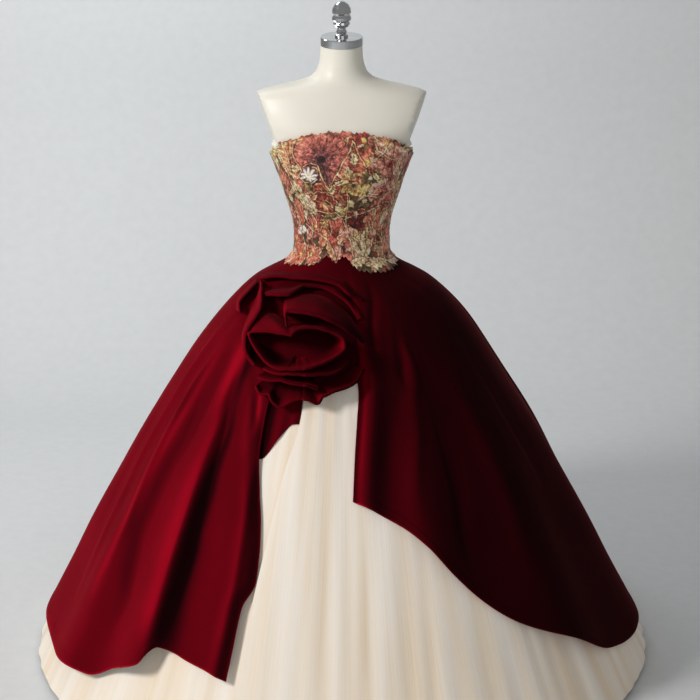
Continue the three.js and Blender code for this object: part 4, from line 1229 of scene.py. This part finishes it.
# %% The pattern's layout
DUSK, PLUM, WINE, RUST, ROSE = "#4c2e34", "#7b4a4e", "#7c2f2c", "#a6503e", "#ba6f62"
PINK, CORAL, PEACH, GOLD, OLIVE = "#d39a8b", "#c8765c", "#d69c74", "#c9a766", "#958559"
MOSS, CREAM, BONE, WHITE, OXBLOOD = "#574f39", "#e2cda2", "#c8b59a", "#f4efe8", "#5a2320"
MOTIFS = [
    ("leaf", -68, 1235, 30, 6, 60, CREAM, GOLD), ("leaf", -58, 1205, 34, 6, 100, PEACH, CORAL),
    ("leaf", -66, 1150, 46, 7, 100, CORAL, RUST), ("leaf", -58, 1085, 44, 7, 80, CORAL, ROSE),
    ("leaf", -46, 1130, 40, 7, 110, CREAM, OLIVE), ("leaf", -44, 1085, 34, 6, 70, BONE, MOSS),
    ("rose", -72, 1020, 32, 6, 10, CORAL, RUST), ("leaf", -60, 1045, 24, 5, 20, WHITE, CREAM),
    ("rose", -42, 1262, 34, 6, 30, ROSE, CORAL), ("mum", -46, 1215, 44, 18, 0, PEACH, ROSE, WINE),
    ("rose", 14, 1215, 46, 5, 20, ROSE, PLUM, WINE), ("mum", -21, 1222, 60, 22, 0, ROSE, PLUM, DUSK),
    ("leaf", -15, 1186, 24, 6, 100, PLUM, DUSK), ("rose", 26, 1262, 36, 6, 0, RUST, WINE),
    ("rose", 44, 1255, 30, 6, 40, ROSE, PINK), ("leaf", 66, 1240, 26, 6, 10, CREAM, PEACH),
    ("rose", 27, 1215, 38, 6, 15, RUST, CORAL), ("mum", 50, 1205, 44, 15, 0, PINK, ROSE, RUST),
    ("leaf", 62, 1180, 38, 6, 80, PINK, ROSE), ("leaf", 76, 1190, 36, 6, 100, ROSE, WINE),
    ("leaf", 8, 1178, 26, 6, 100, CREAM, OLIVE), ("rose", 13, 1165, 26, 5, 0, GOLD, OLIVE, MOSS),
    ("leaf", 22, 1180, 30, 6, 20, RUST, WINE), ("rose", 30, 1178, 24, 6, 0, OLIVE, MOSS, CREAM),
    ("leaf", 24, 1148, 26, 6, 70, GOLD, CREAM), ("mum", 46, 1140, 36, 14, 20, PINK, ROSE, RUST),
    ("rose", -32, 1182, 26, 6, 0, PLUM, MOSS, PLUM), ("daisy", -33, 1184, 20, 9, 10, WHITE, WHITE),
    ("leaf", -30, 1150, 30, 7, 120, OLIVE, MOSS), ("rose", -13, 1130, 44, 6, 0, RUST, WINE, WINE),
    ("mum", -22, 1115, 34, 12, 0, WINE, RUST, CORAL), ("daisy", -18, 1115, 19, 9, 0, CORAL, PEACH),
    ("leaf", -36, 1110, 34, 6, 105, BONE, CREAM), ("rose", 6, 1105, 26, 6, 0, CREAM, OLIVE),
    ("leaf", 40, 1108, 36, 6, 20, ROSE, RUST), ("leaf", 24, 1110, 30, 6, 15, MOSS, OLIVE),
    ("rose", 58, 1112, 30, 6, 0, ROSE, RUST), ("leaf", 70, 1120, 34, 6, 85, PINK, ROSE),
    ("leaf", -10, 1084, 40, 7, 5, OLIVE, MOSS), ("rose", 22, 1070, 38, 6, 20, WINE, OXBLOOD, WINE),
    ("rose", 44, 1078, 28, 6, 0, CORAL, RUST, PINK), ("leaf", 60, 1072, 26, 6, 60, CREAM, BONE),
    ("rose", -36, 1058, 32, 6, 0, ROSE, RUST), ("leaf", -48, 1040, 28, 6, 60, PINK, ROSE),
    ("rose", -8, 1042, 44, 6, 15, ROSE, RUST, WINE), ("daisy", -23, 1065, 13, 7, 0, GOLD, GOLD, RUST),
    ("leaf", -28, 1030, 30, 6, 75, CORAL, PEACH), ("mum", 10, 1030, 30, 12, 0, PINK, ROSE, RUST),
    ("leaf", 26, 1012, 40, 7, 118, BONE, OLIVE), ("leaf", 36, 1014, 44, 8, 92, CREAM, MOSS),
    ("leaf", 31, 990, 34, 7, 150, BONE, OLIVE), ("leaf", 44, 1036, 30, 6, 80, PINK, PEACH),
    ("leaf", 56, 1010, 32, 6, 95, PEACH, RUST), ("rose", 70, 1000, 30, 6, 0, PINK, ROSE),
    ("leaf", 22, 975, 28, 6, 20, BONE, OLIVE), ("leaf", 46, 968, 32, 6, 5, CREAM, BONE),
    ("leaf", 70, 968, 30, 6, -5, BONE, PINK), ("leaf", -6, 995, 26, 6, 80, PINK, ROSE),
    ("leaf", -16, 1000, 26, 6, 120, PEACH, PINK), ("rose", -44, 992, 30, 6, 30, ROSE, CORAL),
    ("rose", -62, 985, 32, 6, 0, CORAL, RUST), ("leaf", -84, 1060, 40, 7, 90, CORAL, RUST),
    ("leaf", -86, 1130, 40, 7, 80, PEACH, OLIVE),
]
print("placed by hand:", len(MOTIFS))

# %% [markdown]
# At the sides and back the flowers are drawn at random from the same seed each time, and a spot too
# close to the last sixty is drawn again. The spots are in degrees round the gown and millimetres up.

# %% Scattered flowers and sprigs
rng = np.random.default_rng(23)
SCATTERED = [("rose", 32, 6), ("mum", 40, 16), ("leaf", 34, 6), ("leaf", 40, 7), ("rose", 40, 5)]
SCATTERED += [("daisy", 18, 9), ("leaf", 28, 6)]
# Small sprigs fill the gaps all round and break up the large flowers.
SPRIGS = [("leaf", 11, 4), ("leaf", 15, 5), ("leaf", 8, 4), ("rose", 7, 5), ("daisy", 7, 7)]
COLOURS = [(ROSE, RUST), (CORAL, PEACH), (PLUM, WINE), (CREAM, OLIVE), (OLIVE, MOSS), (PINK, ROSE)]
COLOURS += [(GOLD, OLIVE), (WINE, RUST), (BONE, CREAM)]
SCATTERED_COUNT, SCATTERED_APART = 92, 17
SPRIG_COUNT = 210
# The bodice's radius, and about what a degree is in millimetres there.
BODICE_RADIUS, MM_A_DEGREE = 108, 1.9


def drawn_from(rows):
    return rows[rng.integers(len(rows))]


def drawn_motif(shape, azimuth, z, colours, smallest, largest):
    """A motif of a drawn size and turn."""
    kind, size, petals = shape
    return (kind, azimuth, z, size * rng.uniform(smallest, largest), petals, rng.uniform(0, 180), *colours)


def apart(spot, other, degree=math.radians(BODICE_RADIUS)):
    """Millimetres between two (azimuth, height) spots."""
    return math.hypot((spot[0] - other[0]) * degree, spot[1] - other[1])


spots = []
while len(spots) < SCATTERED_COUNT:
    spot = (rng.uniform(80, 280), rng.uniform(960, 1225))
    if all(apart(spot, other) > SCATTERED_APART for other in spots[-60:]):
        spots.append(spot)
scattered = [drawn_motif(drawn_from(SCATTERED), *spot, drawn_from(COLOURS), 0.85, 1.2) for spot in spots]
# The white daisy and the large chrysanthemum in front stay clear.
CLEAR = [((-33, 1184), 22), ((-21, 1222), 50)]
sprigs = []
while len(sprigs) < SPRIG_COUNT:
    shape = drawn_from(SPRIGS)
    spot = (rng.uniform(-180, 180), rng.uniform(955, 1270))
    colours = drawn_from(COLOURS)
    if all(apart(spot, other, MM_A_DEGREE) > radius for other, radius in CLEAR):
        sprigs.append(drawn_motif(shape, *spot, colours, 0.8, 1.25))
MOTIFS = scattered + MOTIFS + sprigs
print("motifs:", len(MOTIFS))

# %% [markdown]
# Cords also wander between the flowers. Each is a line of (azimuth, height) points.

# %% Laid cords
CORDS = [
    [(-58, 1262), (-56, 1225), (-54, 1190), (-47, 1150), (-42, 1110), (-36, 1075), (-34, 1060)],
    [(-64, 1235), (-60, 1190), (-52, 1140), (-46, 1100), (-41, 1068), (-44, 1030)],
    [(-37, 1205), (-32, 1214), (-24, 1208), (-20, 1190), (-16, 1166), (-12, 1150), (-8, 1170),
        (-4, 1195), (2, 1215), (10, 1240), (14, 1262)],
    [(14, 1262), (20, 1230), (26, 1205), (36, 1222), (44, 1240), (52, 1262)],
    [(6, 1150), (8, 1110), (6, 1070), (10, 1040), (16, 1010), (18, 985)],
    [(66, 1210), (64, 1160), (62, 1110), (60, 1060), (62, 1010), (66, 970)],
    [(-6, 1086), (6, 1080), (20, 1092), (34, 1096), (48, 1108)],
    [(-52, 1062), (-40, 1046), (-30, 1040), (-22, 1030), (-14, 1010), (-10, 990)],
    [(14, 1040), (24, 1024), (36, 1030), (48, 1016), (60, 1020)],
    [(-46, 1262), (-50, 1236), (-48, 1212), (-42, 1198), (-43, 1180), (-38, 1168), (-30, 1166),
        (-24, 1176)],
    [(36, 1262), (38, 1240), (46, 1222), (56, 1214), (64, 1190), (60, 1168), (66, 1140)],
    [(18, 1128), (28, 1136), (40, 1130), (54, 1140), (66, 1158)],
    [(-40, 1092), (-28, 1100), (-18, 1092), (-8, 1098), (0, 1086), (6, 1060)],
    [(-70, 1210), (-66, 1160), (-60, 1110), (-62, 1060), (-56, 1010), (-60, 970)],
]


def cord_distance(x, z, line):
    """Distance in millimetres from each point to a laid cord."""
    near = np.full(x.shape, 1e3)
    ends = [(float(arc(a)), float(h)) for a, h in line]
    for (x0, z0), (x1, z1) in zip(ends[:-1], ends[1:]):
        dx, dz = x1 - x0, z1 - z0
        share = np.clip(((x - x0) * dx + (z - z0) * dz) / (dx * dx + dz * dz), 0, 1)
        near = np.minimum(near, np.hypot(x - x0 - share * dx, z - z0 - share * dz))
    return near


print("cords:", len(CORDS))

# %% [markdown]
# Each motif is stitched in silks that run from one colour to another, with a cord along its edge.
# Then the laid cords go on top. The last lines fade the whole cloth to the dusty tones of old silk.


# %% Silk and relief
def soft_noise(x, y, cell, seed):
    """Smooth noise from -1 to 1 whose bumps are one cell apart, in millimetres."""
    lattice = np.random.default_rng(seed).uniform(-1, 1, (64, 64))
    column, row = np.floor(x / cell).astype(int), np.floor(y / cell).astype(int)
    u, v = eased(x / cell - column, 0, 1), eased(y / cell - row, 0, 1)
    c, r = column % 64, row % 64
    low = lattice[r, c] * (1 - u) + lattice[r, (c + 1) % 64] * u
    high = lattice[(r + 1) % 64, c] * (1 - u) + lattice[(r + 1) % 64, (c + 1) % 64] * u
    return low * (1 - v) + high * v


MIDDLE_TONE, SILK_CONTRAST, SILK_GAIN = 0.13, 1.34, 0.96
# Faded silk: all but the whites are drawn this far towards dusty rose of their own lightness.
FADED, DUSTY_ROSE = 0.32, np.array([1.6, 0.72, 0.58])
EYE_WEIGHTS = np.array([0.35, 0.45, 0.2])
# Strands of satin stitch along a leaf are about 3 mm apart, in radians of their wave a millimetre.
LEAF_STRANDS = 2.1
# Millimetres that a motif stands off the cloth where its height is 1.
RELIEF = 1.35


def rgb(hex_colour):
    return np.array(linear(hex_colour)[:3])


def blend(one, other, share):
    return one * (1 - share) + other * share


def stitched(kind, u, v, size, petals, colours, cord, flecks):
    """A motif's silk and, for each point, how far inside its edge it lies and how high it stands."""
    outer, inner, heart = (rgb(colour) for colour in (*colours, GOLD)[:3])
    inside, out, vein = SHAPES[kind](u, v, size, petals)
    silk = blend(inner, outer, eased(out, 0.1, 0.95)[:, None])
    # Satin stitch: lighter and darker strands lie along a leaf and fan out from a flower's heart.
    if kind == "leaf":
        strands = v * LEAF_STRANDS
    else:
        silk = blend(heart, silk, eased(out, 0.12, 0.2)[:, None])
        strands = np.arctan2(v, u) * petals * 4
    silk = silk * ((1 - 0.75 * vein) * (1 + 0.45 * np.cos(strands + 2 * flecks)))[:, None]
    rim = bell(inside, 0.9, 0.8) * eased(flecks, -0.75, -0.1)
    silk = blend(silk, cord, 0.7 * rim[:, None])
    return silk, inside, 0.35 + 0.25 * (1 - out) - 0.3 * vein + 0.55 * rim


def woven(azimuth, z):
    """The colour of the silk and the height of the relief at each point of the bodice."""
    x = arc(azimuth)
    # Hand-guided outlines wander by some 2 mm.
    warp = 2.4 * soft_noise(x, z, 21, 1) + 1.7 * soft_noise(x, z, 8, 2)
    drift = 2.4 * soft_noise(x, z, 19, 3) + 1.7 * soft_noise(x, z, 7, 4)
    flecks = 0.65 * soft_noise(x, z, 3.6, 5) + 0.45 * soft_noise(x, z, 9, 6)
    x, h = x + warp, z + drift
    patches = np.sin(x * 0.045 + 2.0 * np.sin(h * 0.021)) * np.sin(h * 0.04 + 1.5 * np.sin(x * 0.033))
    colour = blend(rgb(MOSS), rgb(ROSE), eased(patches, -0.6, 0.6)[..., None])
    height = np.zeros(x.shape)
    for kind, at, centre, size, petals, spin, *colours in MOTIFS:
        dx, dz = x - float(arc(np.array(float(at)))), h - centre
        near = np.hypot(dx, dz) < size * 1.15
        if not near.any():
            continue
        a = math.radians(spin)
        u = dx[near] * math.cos(a) + dz[near] * math.sin(a)
        v = dz[near] * math.cos(a) - dx[near] * math.sin(a)
        # Every third motif or so has a dark cord.
        cord = rgb(CREAM if int(abs(at) * 7) % 3 else MOSS)
        silk, inside, raised = stitched(kind, u, v, size, petals, colours, cord, flecks[near])
        cover = eased(inside, -0.5, 0.7)
        # A painted shadow darkens a narrow band of the cloth round each raised motif.
        ground = colour[near] * (1 - 0.55 * bell(inside, -1.3, 1.3))[:, None]
        colour[near] = blend(ground, silk, cover[:, None])
        height[near] = blend(height[near], raised, cover)
    for line in CORDS:
        near = cord_distance(x, h, line)
        laid = bell(near, 0, 0.85)
        # A painted shadow runs along each side of a laid cord.
        colour = colour * (1 - 0.6 * bell(near, 2.2, 0.9))[..., None]
        colour = blend(colour, rgb(CREAM), 0.75 * laid[..., None])
        height = height + 0.6 * laid
    # Knots, snags and thread ends keep any patch from being one flat colour.
    colour = colour * np.exp(0.95 * flecks + 0.16)[..., None]
    # Silk next to matt cord has more contrast than the flat colours of the table.
    colour = np.minimum(SILK_GAIN * (colour / MIDDLE_TONE) ** SILK_CONTRAST * MIDDLE_TONE, 1)
    lightness = (colour @ EYE_WEIGHTS)[..., None]
    faded = FADED * eased(lightness, 0.85, 0.5)
    return np.minimum(blend(colour, lightness * DUSTY_ROSE, faded), 1), RELIEF * height + 0.35 * flecks


print("silk tones:", MIDDLE_TONE, SILK_CONTRAST, SILK_GAIN, FADED)

# %% [markdown]
# The cloth is fine enough to carry the pattern in its own points, which are some 2 mm apart in front
# and 2 to 3 mm elsewhere. The relief lifts the points, and the colours are stored beside them for
# the material to read.

# %% The five panels
BROCADE = 2.0
BODICE_PANELS = [
    ("bodice_front", -52.5, 52.5, 140, 190),
    ("bodice_side_left", 52.5, 112.5, 64, 150),
    ("bodice_back_left", 112.5, 180.0, 64, 130),
    ("bodice_back_right", 180.0, 247.5, 64, 130),
    ("bodice_side_right", 247.5, 307.5, 64, 150),
]
for name, start, end, columns, rows in BODICE_PANELS:
    azimuth, z, top = bodice_grid(start, end, columns, rows)
    colour, height = woven(azimuth, z)
    seam = np.minimum(azimuth - azimuth[:, :1], azimuth[:, -1:] - azimuth) * MM_A_DEGREE
    height = height * eased(seam, 0, 3) - 0.35 * (1 - eased(seam, 0, 1.5))
    colour = colour * (1 - 0.45 * (1 - eased(seam, 0, 1.6)))[..., None]
    points = bodice_surface(azimuth, z, top, BROCADE + height)
    plain = bodice_surface(azimuth, z, top, BROCADE)
    uv = np.stack([arc(azimuth) / 1000, z / 1000], axis=-1)
    piece = make_sheet(name + "_cloth", points, uv, BROCADE, brocade, crease=70)
    rgba = np.concatenate([colour, np.ones((*azimuth.shape, 1))], axis=-1)
    attribute = piece.data.color_attributes.new("silk", "FLOAT_COLOR", "POINT")
    attribute.data.foreach_set("color", for_both_faces(piece, rgba, width=4))
    declare(piece, plain, name)

# %% [markdown]
# ## Sizes
# The flat size that each sheet was cut to is printed.

# %% Sizes
print("flat sizes:", flat_sizes)
